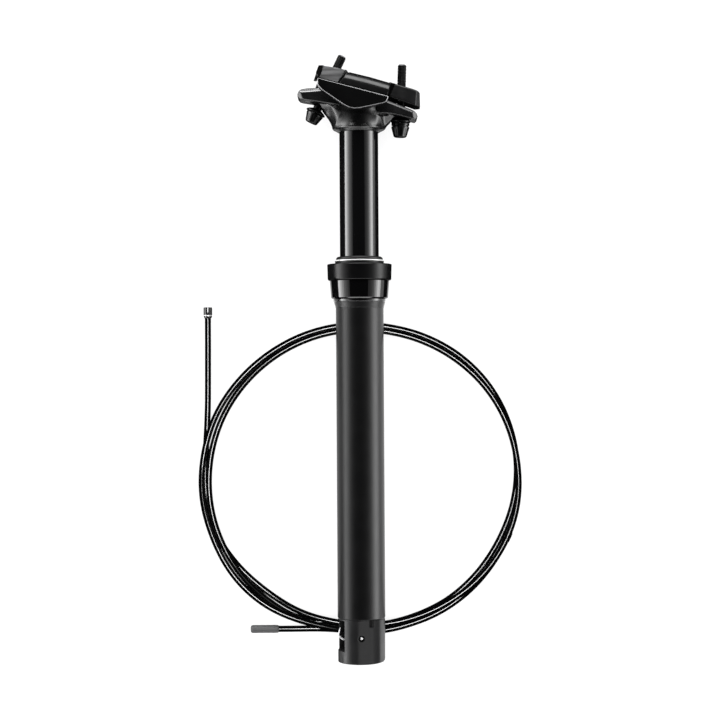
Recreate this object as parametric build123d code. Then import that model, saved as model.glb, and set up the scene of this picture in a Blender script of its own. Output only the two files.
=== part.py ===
from build123d import *
import os
import math

os.makedirs("parts", exist_ok=True)

# ---------------------------------------------------------------- dimensions
# Frame: the post lies on a level surface (z = 0). Its axis runs along Y at
# height AXIS_Z, the saddle clamp toward +Y, the front of the bicycle toward +X.
AXIS_Z = 27.0

TUBE_R = 15.8            # 31.6 mm post
TUBE_BORE_R = 14.3
TUBE_BOTTOM = -171.2
TUBE_SHOULDER = 33.7     # end of the plain outside, under the collar parts
TUBE_TOP = 58.0
TUBE_THREAD_R = 15.5

LIP_STEPS = [(33.7, 16.1), (35.2, 16.5), (36.9, 16.9), (38.4, 17.4)]
LIP_TOP = 39.7
GLOSS_R_LOW, GLOSS_R_HIGH = 18.8, 19.75
GLOSS_TOP = 52.0
COLLAR_R_LOW, COLLAR_R_HIGH = 21.05, 21.35
COLLAR_TOP = 62.6
SEAL_FOOT_R = 14.5
LOWER_SEAL_TOP, LOWER_SEAL_R = 64.3, 16.1
TRIM_TOP, TRIM_R = 65.45, 16.4
WIPER_TOP, WIPER_R = 67.6, 15.5

STANCHION_R = 12.85      # 25.7 mm slider
STANCHION_BORE_R = 11.0
STANCHION_BOTTOM = -42.0
STANCHION_TOP = 158.0
TRAVEL = 80.0
RUN = 0.05               # running clearance, on the radius

BUSH_LOW, BUSH_HIGH = 30.0, 50.0
SPACER_LOW = -11.8
KEY_R = 1.4
KEY_RING_R = 13.2
KEY_LOW, KEY_HIGH = -26.0, -12.0
LOWER_BUSH = (-40.0, -28.0)

CARTRIDGE_R, CARTRIDGE_BORE_R = 10.0, 8.8
CARTRIDGE_TOP = -46.0
BASE_SHOULDER = -165.0
BASE_TOP = -160.0
ROD_R = 4.0
PISTON = (-62.0, -56.0)
FLOAT = (-132.0, -126.0)

ACT_R = 15.62
ACT_BOTTOM = -200.5
SLOT_Y = (-192.6, -172.4)
SLOT_Z = (23.1, 38.3)      # open toward -X, with a floor and a roof
PIVOT_Y = -183.3
PIVOT_R = 1.5
PIN_Z0 = 15.2
RELEASE_R = 1.5
FOOT_R = 5.4
FOOT_Y = (-178.0, -177.0)

HEAD_BASE = 152.1
HEAD_BASE_R = 16.2
HEAD_LIP = 149.9
SEAT_C = (0.0, 186.0)    # centre of the cradle's arc
SEAT_R = 22.0
EAR_HALF_Z = 10.5
SEAT_HALF_Z = 14.0

CLAMP_TILT = -14.8       # degrees, rails against X
CLAMP_O = (-3.5, 176.3)  # a point on the rails' centre line
RAIL_R = 3.5
RAIL_Z = (5.0, 49.0)     # 44 mm apart
CLAMP_Z = (0.0, 54.0)
WING = 10.0              # width of each rail wing
BOLT_R = 3.0             # M6
NUT_R = 4.25

CORD_R = 2.1
RING_C = (-0.17, -81.08)

ALL = {}


def keep(name, shape, label=None):
    shape.label = name
    export_step(shape, "parts/" + name + ".step")
    ALL[name] = shape


def solid_of(shape):
    """The one solid of a result, without its wrapper."""
    s = shape.solids()
    if len(s) != 1:
        print("  several solids:", len(s), [round(x.volume, 3) for x in s])
        return Compound(children=list(s))
    return s[0]


def turned(points, x=0.0, z=AXIS_Z):
    """A profile of (radius, y) turned about the post's axis."""
    face = Face(Wire.make_polygon([Vector(r, y, 0) for r, y in points], close=True))
    s = revolve(face, Axis.Y, 360)
    return Pos(x, 0, z) * s


def ring(r_in, r_out, y0, y1):
    return turned([(r_in, y0), (r_out, y0), (r_out, y1), (r_in, y1)])


def ycyl(r, y0, y1, x=0.0, z=AXIS_Z):
    return Pos(x, (y0 + y1) / 2, z) * (Rot(90, 0, 0) * Cylinder(r, y1 - y0))


def zcyl(r, x, y, z0, z1):
    return Pos(x, y, (z0 + z1) / 2) * Cylinder(r, z1 - z0)


def rod_between(r, a, b):
    """A round bar from a to b."""
    a, b = Vector(*a), Vector(*b)
    d = b - a
    pl = Plane(origin=a, z_dir=d.normalized())
    return pl * Pos(0, 0, d.length / 2) * Cylinder(r, d.length)


def slab(points, z0, z1):
    """A closed outline in X and Y, raised from z0 to z1."""
    face = Face(Wire.make_polygon([Vector(x, y, z0) for x, y in points], close=True))
    return extrude(face, amount=z1 - z0, dir=(0, 0, 1))


# ---------------------------------------------------------------- outer tube
outer = turned(
    [
        (TUBE_BORE_R, TUBE_BOTTOM),
        (TUBE_R - 0.3, TUBE_BOTTOM),
        (TUBE_R, TUBE_BOTTOM + 0.3),
        (TUBE_R, TUBE_SHOULDER),
        (TUBE_THREAD_R, TUBE_SHOULDER),
        (TUBE_THREAD_R, TUBE_TOP),
        (TUBE_BORE_R, TUBE_TOP),
    ]
)
for a in (90, 210, 330):
    kx = KEY_RING_R * math.cos(math.radians(a))
    kz = KEY_RING_R * math.sin(math.radians(a))
    outer -= ycyl(KEY_R + 0.1, -150.0, SPACER_LOW, kx, AXIS_Z + kz)
keep("outer_tube", solid_of(outer))

# ---------------------------------------------------------------- collar parts
lip = [(TUBE_THREAD_R, TUBE_SHOULDER)]
for i, (y, r) in enumerate(LIP_STEPS):
    lip.append((r, y))
    top = LIP_STEPS[i + 1][0] if i + 1 < len(LIP_STEPS) else LIP_TOP
    lip.append((r, top))
lip.append((TUBE_THREAD_R, LIP_TOP))
keep("lower_lip", solid_of(turned(lip)))

gloss = turned(
    [
        (TUBE_THREAD_R, LIP_TOP),
        (GLOSS_R_LOW - 0.5, LIP_TOP),
        (GLOSS_R_LOW, LIP_TOP + 0.5),
        (GLOSS_R_HIGH, GLOSS_TOP - 0.5),
        (GLOSS_R_HIGH - 0.5, GLOSS_TOP),
        (TUBE_THREAD_R, GLOSS_TOP),
    ]
)
keep("gloss_ring", solid_of(gloss))

collar = turned(
    [
        (TUBE_THREAD_R, GLOSS_TOP),
        (COLLAR_R_LOW - 0.7, GLOSS_TOP),
        (COLLAR_R_LOW, GLOSS_TOP + 0.7),
        (COLLAR_R_HIGH, COLLAR_TOP - 0.4),
        (COLLAR_R_HIGH - 0.4, COLLAR_TOP),
        (SEAL_FOOT_R, COLLAR_TOP),
        (SEAL_FOOT_R, TUBE_TOP),
        (TUBE_THREAD_R, TUBE_TOP),
    ]
)
keep("knurled_collar", solid_of(collar))

keep("lower_seal", solid_of(turned([
    (SEAL_FOOT_R, COLLAR_TOP), (LOWER_SEAL_R, COLLAR_TOP), (LOWER_SEAL_R, LOWER_SEAL_TOP - 0.4),
    (LOWER_SEAL_R - 0.4, LOWER_SEAL_TOP), (SEAL_FOOT_R, LOWER_SEAL_TOP)])))
keep("seal_trim_ring", solid_of(ring(SEAL_FOOT_R, TRIM_R, LOWER_SEAL_TOP, TRIM_TOP)))
keep("wiper_seal", solid_of(turned([
    (STANCHION_R + 0.1, TUBE_TOP), (SEAL_FOOT_R, TUBE_TOP), (SEAL_FOOT_R, TRIM_TOP),
    (WIPER_R, TRIM_TOP), (WIPER_R, WIPER_TOP - 1.1), (WIPER_R - 0.7, WIPER_TOP - 0.3),
    (STANCHION_R + 0.9, WIPER_TOP), (STANCHION_R + RUN, WIPER_TOP - 0.4),
    (STANCHION_R + RUN, WIPER_TOP - 1.8), (STANCHION_R + 0.1, WIPER_TOP - 2.4)])))
keep("upper_bushing", solid_of(ring(STANCHION_R + RUN, TUBE_BORE_R, BUSH_LOW, BUSH_HIGH)))
keep("topout_spacer", solid_of(ring(STANCHION_R + 0.15, TUBE_BORE_R, SPACER_LOW, BUSH_LOW)))

# ---------------------------------------------------------------- stanchion
stanchion = ring(STANCHION_BORE_R, STANCHION_R, STANCHION_BOTTOM, STANCHION_TOP)
for i, a in enumerate((90, 210, 330)):
    kx = KEY_RING_R * math.cos(math.radians(a))
    kz = KEY_RING_R * math.sin(math.radians(a))
    key = ycyl(KEY_R, KEY_LOW, KEY_HIGH, kx, AXIS_Z + kz)
    stanchion -= key
    keep("key_pin_%d" % (i + 1), solid_of(key))
keep("stanchion_tube", solid_of(stanchion))
keep("lower_bushing", solid_of(ring(STANCHION_R, TUBE_BORE_R - RUN, *LOWER_BUSH)))
rod_end = ycyl(STANCHION_BORE_R, 148.0, 156.0) - ycyl(ROD_R, 140.0, 157.0)
keep("rod_end_plug", solid_of(rod_end))

# ---------------------------------------------------------------- cartridge
keep("cartridge_body", solid_of(ring(CARTRIDGE_BORE_R, CARTRIDGE_R, BASE_SHOULDER, CARTRIDGE_TOP)))
keep("cartridge_base", solid_of(turned([
    (RELEASE_R + RUN, TUBE_BOTTOM), (TUBE_BORE_R, TUBE_BOTTOM), (TUBE_BORE_R, BASE_SHOULDER),
    (CARTRIDGE_BORE_R, BASE_SHOULDER), (CARTRIDGE_BORE_R, BASE_TOP), (RELEASE_R + RUN, BASE_TOP)])))
keep("retaining_ring", solid_of(ring(CARTRIDGE_R, TUBE_BORE_R, BASE_SHOULDER, BASE_SHOULDER + 1.2)))
keep("cartridge_gland", solid_of(ring(ROD_R + RUN, CARTRIDGE_BORE_R, -52.0, CARTRIDGE_TOP)))
keep("piston_rod", solid_of(ycyl(ROD_R, PISTON[0], 156.0)))
keep("piston", solid_of(ring(ROD_R, CARTRIDGE_BORE_R - RUN, *PISTON)))
keep("floating_piston", solid_of(ycyl(CARTRIDGE_BORE_R - RUN, *FLOAT)))

# ---------------------------------------------------------------- release pin and spring
release = ycyl(RELEASE_R, FOOT_Y[1], -157.0) + ycyl(FOOT_R, *FOOT_Y)
keep("release_pin", solid_of(release))
SPRING_R, SPRING_WIRE = 3.0, 0.45
coil_turns = 4
spring_low, spring_high = FOOT_Y[1] + SPRING_WIRE + 0.02, TUBE_BOTTOM - SPRING_WIRE - 0.02
pitch = (spring_high - spring_low) / coil_turns
helix = Helix(pitch=pitch, height=spring_high - spring_low, radius=SPRING_R)
start = helix @ 0
sec = Plane(origin=start, z_dir=helix % 0) * Circle(SPRING_WIRE)
spring = sweep(sec, path=helix, is_frenet=True)
spring = Pos(0, spring_low, AXIS_Z) * (Rot(-90, 0, 0) * spring)
keep("return_spring", solid_of(spring))

# ---------------------------------------------------------------- actuator
act = turned([
    (0, ACT_BOTTOM), (ACT_R - 0.8, ACT_BOTTOM), (ACT_R, ACT_BOTTOM + 0.8),
    (ACT_R, TUBE_BOTTOM - 0.5), (ACT_R - 0.4, TUBE_BOTTOM - 0.1), (ACT_R - 0.4, TUBE_BOTTOM), (0, TUBE_BOTTOM)])
slot_len = SLOT_Y[1] - SLOT_Y[0]
act -= Pos(-20 + 13.5, (SLOT_Y[0] + SLOT_Y[1]) / 2, (SLOT_Z[0] + SLOT_Z[1]) / 2) * Box(27.0, slot_len, SLOT_Z[1] - SLOT_Z[0])
act -= ycyl(6.0, FOOT_Y[0] - 1.2, TUBE_BOTTOM + 1.0)
act -= zcyl(PIVOT_R, 0, PIVOT_Y, PIN_Z0, 50.0)
act -= zcyl(1.85, 0, PIVOT_Y, 41.3, 50.0)
act -= Pos(6.6, -173.5, AXIS_Z + ACT_R) * Box(2.8, 5.0, 5.0)
act -= ycyl(5.0, ACT_BOTTOM - 1.0, ACT_BOTTOM + 2.6)
act -= ycyl(2.5, ACT_BOTTOM, ACT_BOTTOM + 6.0)
# the housing's port: a slanting hole in the underside
PORT_IN = (8.4, -184.0, 14.6)
PORT_OUT = (-5.6, -184.3, 9.7)
PORT_R = 2.6
port_dir = (Vector(*PORT_OUT) - Vector(*PORT_IN)).normalized()
port_far = Vector(*PORT_IN) + port_dir * 26.0
act -= rod_between(PORT_R, PORT_IN, tuple(port_far))
keep("actuator_housing", solid_of(act))
stop_face = Vector(*PORT_IN) + port_dir * 1.6
keep("cable_stop", solid_of(rod_between(PORT_R, PORT_IN, tuple(stop_face))))
keep("lever_pivot_pin", solid_of(zcyl(PIVOT_R, 0, PIVOT_Y, PIN_Z0, 40.6)))

screw = ycyl(5.0, ACT_BOTTOM + 0.4, ACT_BOTTOM + 2.6) + ycyl(2.5, ACT_BOTTOM + 2.6, ACT_BOTTOM + 6.0)
hexa = Pos(0, ACT_BOTTOM + 1.2, AXIS_Z) * (Rot(90, 0, 0) * extrude(RegularPolygon(2.3, 6), amount=1.0, both=True))
screw -= hexa
keep("end_screw", solid_of(screw))

# the lever: hub on the pivot, nose under the pin's foot, forked arm in the slot
LZ0, LZ1 = AXIS_Z - 3.2, AXIS_Z + 3.2
hub = zcyl(3.6, 0, PIVOT_Y, LZ0, LZ1)
arm = slab([(0, PIVOT_Y - 2.4), (0, PIVOT_Y + 2.6), (-8.0, PIVOT_Y + 3.3), (-12.2, PIVOT_Y + 3.4),
            (-15.2, PIVOT_Y + 5.0), (-15.3, PIVOT_Y + 3.0), (-12.6, PIVOT_Y + 1.3),
            (-15.3, PIVOT_Y - 0.4), (-15.2, PIVOT_Y - 2.2), (-12.0, PIVOT_Y - 1.0), (-8.0, PIVOT_Y - 1.2)], LZ0, LZ1)
nose = zcyl(1.0, -4.6, PIVOT_Y + 4.2, LZ0, LZ1) + Pos(-4.6, PIVOT_Y + 2.7, AXIS_Z) * Box(2.0, 3.0, LZ1 - LZ0)
lever = hub + arm + nose - zcyl(PIVOT_R + RUN, 0, PIVOT_Y, LZ0 - 1, LZ1 + 1)
keep("actuator_lever", solid_of(lever))
barrel = zcyl(1.5, -13.6, PIVOT_Y + 1.35, LZ0 + 0.6, LZ1 - 0.6) - arm - hub
keep("wire_barrel", solid_of(barrel))

# ---------------------------------------------------------------- head forging
neck = turned([
    (0, HEAD_LIP), (13.4, HEAD_LIP), (HEAD_BASE_R, HEAD_BASE), (HEAD_BASE_R, HEAD_BASE + 0.8),
    (15.7, 154.6), (15.0, 158.0), (14.6, 163.0), (14.6, 167.0), (0, 167.0)])
# ears: the band along the top and the web that flares down to the neck
band_l = slab([(-38.6, 171.9), (-40.2, 173.0), (-40.3, 174.6), (-39.2, 176.6), (-37.3, 177.8), (-34.0, 178.4),
               (-26.5, 178.7), (-18.0, 178.9), (-14.0, 172.0), (-14.0, 167.3), (-17.8, 168.2)],
              AXIS_Z - EAR_HALF_Z, AXIS_Z + EAR_HALF_Z)
band_r = slab([(13.0, 161.8), (13.0, 170.2), (18.6, 169.0), (28.0, 165.9), (34.4, 163.6), (36.9, 162.4), (38.4, 161.0),
               (38.9, 159.4), (38.3, 158.0), (37.0, 157.3), (23.4, 160.2)],
              AXIS_Z - EAR_HALF_Z, AXIS_Z + EAR_HALF_Z)
web_l = slab([(-36.4, 171.6), (-35.4, 170.6), (-29.8, 168.1), (-24.6, 164.4), (-20.6, 159.6), (-17.8, 154.8),
              (-16.1, 152.1), (0, 152.1), (0, 168.0), (-18.0, 172.0)],
             AXIS_Z - EAR_HALF_Z + 1.6, AXIS_Z + EAR_HALF_Z - 1.6)
web_r = slab([(0, 152.1), (16.1, 152.1), (17.2, 153.0), (19.8, 155.1), (22.4, 157.4), (23.8, 159.2), (30.0, 160.0),
              (22.0, 164.0), (0, 165.0)],
             AXIS_Z - EAR_HALF_Z + 1.6, AXIS_Z + EAR_HALF_Z - 1.6)
seat = slab([(-20.6, 177.9), (-22.4, 174.0), (-17.0, 162.0), (-14.0, 154.5), (14.0, 154.5), (15.6, 160.0),
             (16.2, 165.0), (15.6, 169.2)], AXIS_Z - SEAT_HALF_Z, AXIS_Z + SEAT_HALF_Z)
forging = neck + band_l + band_r + web_l + web_r + seat
forging -= zcyl(SEAT_R, SEAT_C[0], SEAT_C[1], -5, 60)
forging -= ycyl(STANCHION_R, HEAD_LIP - 2, STANCHION_TOP)

# bolt axes, as a point where the washer seats and a direction toward the clamp
REAR_DIR = Vector(21.08, 43.7, 0).normalized()
REAR_SEAT = Vector(-27.25, 165.75, AXIS_Z)
FRONT_DIR = Vector(1.75, 49.12, 0).normalized()
FRONT_SEAT = Vector(27.86, 159.6, AXIS_Z)
REAR_LEN, FRONT_LEN = 38.9, 35.3       # from the washer's seat to the thread's end

WASHER_R = 6.7
WASHER_BALL = 10.5       # radius of the washers' round side

for seat_p, d in ((REAR_SEAT, REAR_DIR), (FRONT_SEAT, FRONT_DIR)):
    ball_c = seat_p - d * WASHER_BALL
    forging -= rod_between(4.1, tuple(seat_p - d * 5), tuple(seat_p + d * 30))
    pocket = rod_between(WASHER_R + 0.6, tuple(seat_p - d * 16), tuple(seat_p + d * 2))
    forging -= rod_between(WASHER_R + 0.6, tuple(seat_p - d * 16), tuple(seat_p - d * 2.6))
    forging -= pocket & (Pos(ball_c.X, ball_c.Y, ball_c.Z) * Sphere(WASHER_BALL + RUN))
keep("head_forging", solid_of(forging))


# ---------------------------------------------------------------- clamp frame
CT, ST = math.cos(math.radians(CLAMP_TILT)), math.sin(math.radians(CLAMP_TILT))


def uv(u, v):
    """From along and square to the rails to X and Y."""
    return (CLAMP_O[0] + u * CT - v * ST, CLAMP_O[1] + u * ST + v * CT)


def uslab(points, z0, z1):
    return slab([uv(u, v) for u, v in points], z0, z1)


# lower cradle: boat-shaped end plates, a round-bottomed middle, half grooves
boat = [(-23.5, -0.25), (-22.5, -4.9), (-19.2, -7.3), (-1.6, -13.4), (1.0, -13.9), (3.8, -13.5), (7.6, -12.1),
        (21.6, -5.3), (23.0, -4.2), (23.8, -1.4), (23.0, -0.25)]
cradle = uslab(boat, CLAMP_Z[0], CLAMP_Z[0] + WING) + uslab(boat, CLAMP_Z[1] - WING, CLAMP_Z[1])
middle = uslab([(-11.5, -1.0), (-11.5, -20), (20.0, -20), (20.0, -1.0)], CLAMP_Z[0] + WING - 1.0, CLAMP_Z[1] - WING + 1.0)
middle = middle & zcyl(SEAT_R - RUN, SEAT_C[0], SEAT_C[1], -5, 60)
cradle = cradle + middle
for rz in RAIL_Z:
    a = Vector(*uv(-60, 0), rz)
    b = Vector(*uv(60, 0), rz)
    cradle -= rod_between(RAIL_R, tuple(a), tuple(b))
keep("lower_cradle", solid_of(cradle))

# upper clamp: rail wings, a beam that carries the nuts, webs between
wing_prof = [(-26.2, -1.4), (-24.4, -1.4), (-23.9, 0.25), (22.8, 0.25), (22.8, 8.3), (21.6, 9.4), (9.0, 9.7), (-6.0, 9.5), (-25.1, 8.5)]
upper = uslab(wing_prof, CLAMP_Z[0], CLAMP_Z[0] + WING) + uslab(wing_prof, CLAMP_Z[1] - WING, CLAMP_Z[1])
upper += uslab([(-14.0, 1.6), (-14.0, 7.8), (17.0, 7.8), (17.0, 1.6)], CLAMP_Z[0] + WING - 1, CLAMP_Z[1] - WING + 1)
upper += uslab([(-24.5, 0.4), (24.0, 0.4), (25.2, 1.4), (26.5, 1.2), (38.0, 0.6), (41.8, 0.2), (45.4, 0.8), (42.9, 9.8),
                (41.8, 10.6), (37.4, 11.1), (22.0, 11.6), (20.0, 8.6), (-22.5, 8.4)], AXIS_Z - 10.0, AXIS_Z + 10.0)
for rz in RAIL_Z:
    a = Vector(*uv(-60, 0), rz)
    b = Vector(*uv(60, 0), rz)
    upper -= rod_between(RAIL_R, tuple(a), tuple(b))


def on_bolt(seat_p, d, v):
    """The point of a bolt's axis at height v over the rails' line."""
    n = Vector(-ST, CT, 0)
    o = Vector(CLAMP_O[0], CLAMP_O[1], AXIS_Z)
    t = (v - (seat_p - o).dot(n)) / d.dot(n)
    return seat_p + d * t


REAR_NUT = on_bolt(REAR_SEAT, REAR_DIR, 4.35)
FRONT_NUT = on_bolt(FRONT_SEAT, FRONT_DIR, 5.6)
NUT_HALF = 7.8
for nut, d, top in ((REAR_NUT, REAR_DIR, 14.0), (FRONT_NUT, FRONT_DIR, 16.0)):
    upper -= zcyl(NUT_R + RUN, nut.X, nut.Y, AXIS_Z - NUT_HALF - 0.4, AXIS_Z + NUT_HALF + 0.4)
    n = Vector(-ST, CT, 0)
    along = Vector(CT, ST, 0)
    w = NUT_R + RUN
    c = [nut - along * w, nut + along * w, nut + along * w + n * 12, nut - along * w + n * 12]
    upper -= slab([(p.X, p.Y) for p in c], AXIS_Z - NUT_HALF - 0.4, AXIS_Z + NUT_HALF + 0.4)
    upper -= rod_between(4.1, tuple(nut - d * 22), tuple(nut + d * 16))
# slanting groove over each wing's outer side and top
for z0, z1 in ((CLAMP_Z[0] - 1, CLAMP_Z[0] + 0.7), (CLAMP_Z[1] - 0.7, CLAMP_Z[1] + 1)):
    upper -= uslab([(-11.6, 0.1), (-10.4, 0.1), (-6.2, 9.5), (-7.4, 9.5)], z0, z1)
keep("upper_clamp", solid_of(upper))

# ---------------------------------------------------------------- bolts, washers, nuts
for tag, seat_p, d, length, nut in (
    ("rear", REAR_SEAT, REAR_DIR, REAR_LEN, REAR_NUT),
    ("front", FRONT_SEAT, FRONT_DIR, FRONT_LEN, FRONT_NUT),
):
    frame = Plane(origin=seat_p, x_dir=(0, 0, 1), z_dir=d)
    # washer: round side in the ear's seat, flat side on the bolt's head
    wash = Pos(0, 0, -1.6) * Cylinder(WASHER_R, 3.2)
    wash = wash & (Pos(0, 0, -WASHER_BALL) * Sphere(WASHER_BALL))
    wash -= Cylinder(BOLT_R + 0.25, 20)
    keep(tag + "_washer", solid_of(frame * wash))
    head = revolve(Face(Wire.make_polygon([
        Vector(0, 0, -3.2), Vector(5.2, 0, -3.2), Vector(5.8, 0, -3.8), Vector(6.0, 0, -4.4), Vector(6.0, 0, -7.0),
        Vector(4.3, 0, -12.6), Vector(3.9, 0, -13.0), Vector(0, 0, -13.0)], close=True)), Axis.Z, 360)
    if tag == "rear":
        head = revolve(Face(Wire.make_polygon([
            Vector(0, 0, -3.2), Vector(5.2, 0, -3.2), Vector(5.6, 0, -3.6), Vector(5.8, 0, -4.2),
            Vector(4.2, 0, -9.8), Vector(3.8, 0, -10.2), Vector(0, 0, -10.2)], close=True)), Axis.Z, 360)
    shank = Pos(0, 0, (length - 3.2) / 2) * Cylinder(BOLT_R, length + 3.2)
    tip = chamfer(shank.edges().group_by(Axis.Z)[-1], 0.6)
    low = -13.0 if tag == "front" else -10.2
    sock = Pos(0, 0, low + 1.6) * extrude(RegularPolygon(2.8, 6), amount=1.6, both=True)
    bolt = head + tip - sock
    keep(tag + "_bolt", solid_of(frame * bolt))
    barrel_nut = zcyl(NUT_R, nut.X, nut.Y, AXIS_Z - NUT_HALF, AXIS_Z + NUT_HALF)
    barrel_nut -= rod_between(BOLT_R + 0.26, tuple(nut - d * 8), tuple(nut + d * 8))
    keep(tag + "_nut", solid_of(barrel_nut))

# ---------------------------------------------------------------- cable housing
# Route of the housing's straight stretch from the free end, on the surface.
FERRULE_X = -102.8
FERRULE_Y = (29.6, 35.4)
FERRULE_R = 2.9
ferr = ycyl(FERRULE_R, FERRULE_Y[0] - 0.2, FERRULE_Y[1], FERRULE_X, FERRULE_R)
ferr += Pos(FERRULE_X, FERRULE_Y[0] - 0.9, FERRULE_R) * (Rot(90, 0, 0) * Cone(2.3, FERRULE_R, 1.4, rotation=(180, 0, 0)))
keep("housing_ferrule", solid_of(ferr))

# coil: the closed outer shape of its turns, from the turns' radii by angle
COIL_IN = [156.1, 157.0, 156.9, 156.3, 154.8, 153.0, 151.8, 150.3, 149.0, 149.0, 149.0, 149.0, 149.1, 149.4, 150.0, 150.6,
           151.1, 151.3, 151.6, 152.0, 152.4, 152.0, 150.5, 148.2, 146.3, 145.2, 145.3, 146.0, 146.8, 148.0, 148.9, 149.6,
           150.2, 151.0, 152.4, 154.1]
COIL_OUT = [157.6, 157.8, 158.2, 158.7, 158.6, 158.0, 156.7, 155.1, 153.9, 153.8, 153.9, 154.3, 154.7, 155.0, 155.7, 157.0,
            158.0, 158.4, 158.9, 159.0, 158.9, 158.7, 158.1, 156.8, 155.2, 154.0, 153.4, 153.0, 152.8, 153.6, 154.9, 156.0,
            156.9, 157.5, 158.4, 159.0]
PX = 1.478
COIL_TOP = 8.6


def ring_wire(radii, extra, z):
    pts = []
    for i, r in enumerate(radii):
        a = math.radians(i * 10)
        rr = r / PX + extra
        pts.append(Vector(RING_C[0] + rr * math.cos(a), RING_C[1] + rr * math.sin(a), z))
    return Wire([Edge.make_spline(pts, periodic=True)])


outer_face = Face(ring_wire(COIL_OUT, CORD_R, 0.0))
inner_face = Face(ring_wire(COIL_IN, -CORD_R, 0.0))
coil = extrude(outer_face, amount=COIL_TOP, dir=(0, 0, 1)) - extrude(inner_face, amount=COIL_TOP, dir=(0, 0, 1))
coil_solid = solid_of(coil)
keep("housing_coil", coil_solid)


def tube_along(points, r):
    """Straight runs joined by tangent arcs, each as large as its runs allow."""
    pts = [Vector(*p) for p in points]
    edges, last, total = [], pts[0], 0.0
    for i in range(1, len(pts) - 1):
        a, b, c = pts[i - 1], pts[i], pts[i + 1]
        d0, d1 = (b - a).normalized(), (c - b).normalized()
        turn = math.acos(max(-1, min(1, d0.dot(d1))))
        trim = 0.45 * min((b - a).length, (c - b).length)
        print("   arc radius", round(trim / math.tan(turn / 2), 1))
        p0, p1 = b - d0 * trim, b + d1 * trim
        edges.append(Edge.make_line(last, p0))
        edges.append(Edge.make_tangent_arc(p0, d0, p1))
        last = p1
    edges.append(Edge.make_line(last, pts[-1]))
    w = Wire(edges)
    sec = Plane(origin=pts[0], z_dir=(pts[1] - pts[0]).normalized()) * Circle(r)
    s = sweep(sec, path=w)
    print("   tube volume share", round(s.volume / (math.pi * r * r * w.length), 4), "length", round(w.length, 1))
    return s


STRAIGHT = [(FERRULE_X, FERRULE_Y[0] - 1.6, FERRULE_R), (FERRULE_X, 12.0, FERRULE_R), (-103.0, -8.0, 2.1), (-103.2, -36.0, 2.1), (-103.7, -62.0, 2.1)]
straight = tube_along(STRAIGHT, CORD_R) - coil
keep("housing_straight", solid_of(straight))

LEAD = [tuple(stop_face), tuple(stop_face + port_dir * 12.5), (-17.5, -182.4, 6.3)]
lead = tube_along(LEAD, CORD_R) - coil
print("lead", [round(s.volume, 2) for s in lead.solids()])
lead = max(lead.solids(), key=lambda s: s.volume)
keep("housing_lead", lead)

SHORT = [(-56.0, -182.5, 2.7), (-44.0, -182.5, 2.7), (-28.0, -182.4, 2.1), (-12.0, -183.4, 2.1)]
short = tube_along(SHORT, CORD_R) - coil
short = min(short.solids(), key=lambda s: s.center().X)
keep("short_lead", short)
sleeve = Pos(-65.5, -182.5, 2.7) * (Rot(0, 90, 0) * Cylinder(2.7, 19.0))
keep("end_sleeve", solid_of(fillet(sleeve.edges().group_by(Axis.X)[0], 0.9)))

for n, s in ALL.items():
    bb = s.bounding_box()
    print("%-18s vol %9.1f  x %7.2f..%7.2f y %7.2f..%7.2f z %6.2f..%6.2f %s" % (
        n, s.volume, bb.min.X, bb.max.X, bb.min.Y, bb.max.Y, bb.min.Z, bb.max.Z, "ok" if s.is_valid else "INVALID"))
print("bolt facts", REAR_NUT, FRONT_NUT)
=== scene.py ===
import bpy
import math
import numpy as np
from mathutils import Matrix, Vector


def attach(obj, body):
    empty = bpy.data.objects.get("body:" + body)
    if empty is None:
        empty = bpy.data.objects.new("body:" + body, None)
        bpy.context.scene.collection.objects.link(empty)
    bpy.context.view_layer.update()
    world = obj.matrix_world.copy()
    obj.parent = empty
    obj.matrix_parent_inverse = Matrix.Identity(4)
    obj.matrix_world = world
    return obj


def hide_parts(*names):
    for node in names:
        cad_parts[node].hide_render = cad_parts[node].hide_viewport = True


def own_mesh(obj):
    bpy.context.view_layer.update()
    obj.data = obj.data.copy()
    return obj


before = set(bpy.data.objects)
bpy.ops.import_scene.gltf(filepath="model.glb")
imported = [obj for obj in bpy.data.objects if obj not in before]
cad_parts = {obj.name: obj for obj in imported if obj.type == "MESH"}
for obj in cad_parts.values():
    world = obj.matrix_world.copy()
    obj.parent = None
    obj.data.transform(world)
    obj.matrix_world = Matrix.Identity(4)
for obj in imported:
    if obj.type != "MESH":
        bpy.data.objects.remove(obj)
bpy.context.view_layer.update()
MM = 0.001
AXIS_Z = 27.0

# ------------------------------------------------------------------ camera
cam_data = bpy.data.cameras.new("camera")
cam_data.lens = 86.5
cam_data.sensor_width = 36.0
cam_data.clip_start = 0.01
cam_data.clip_end = 20.0
camera = bpy.data.objects.new("camera", cam_data)
camera.location = (0.0, -0.0008, 1.174)
camera.rotation_euler = (0.0, 0.0, -0.00594)
bpy.context.collection.objects.link(camera)
bpy.context.scene.camera = camera
bpy.context.scene.view_settings.view_transform = "Standard"
bpy.context.scene.view_settings.look = "None"


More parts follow.
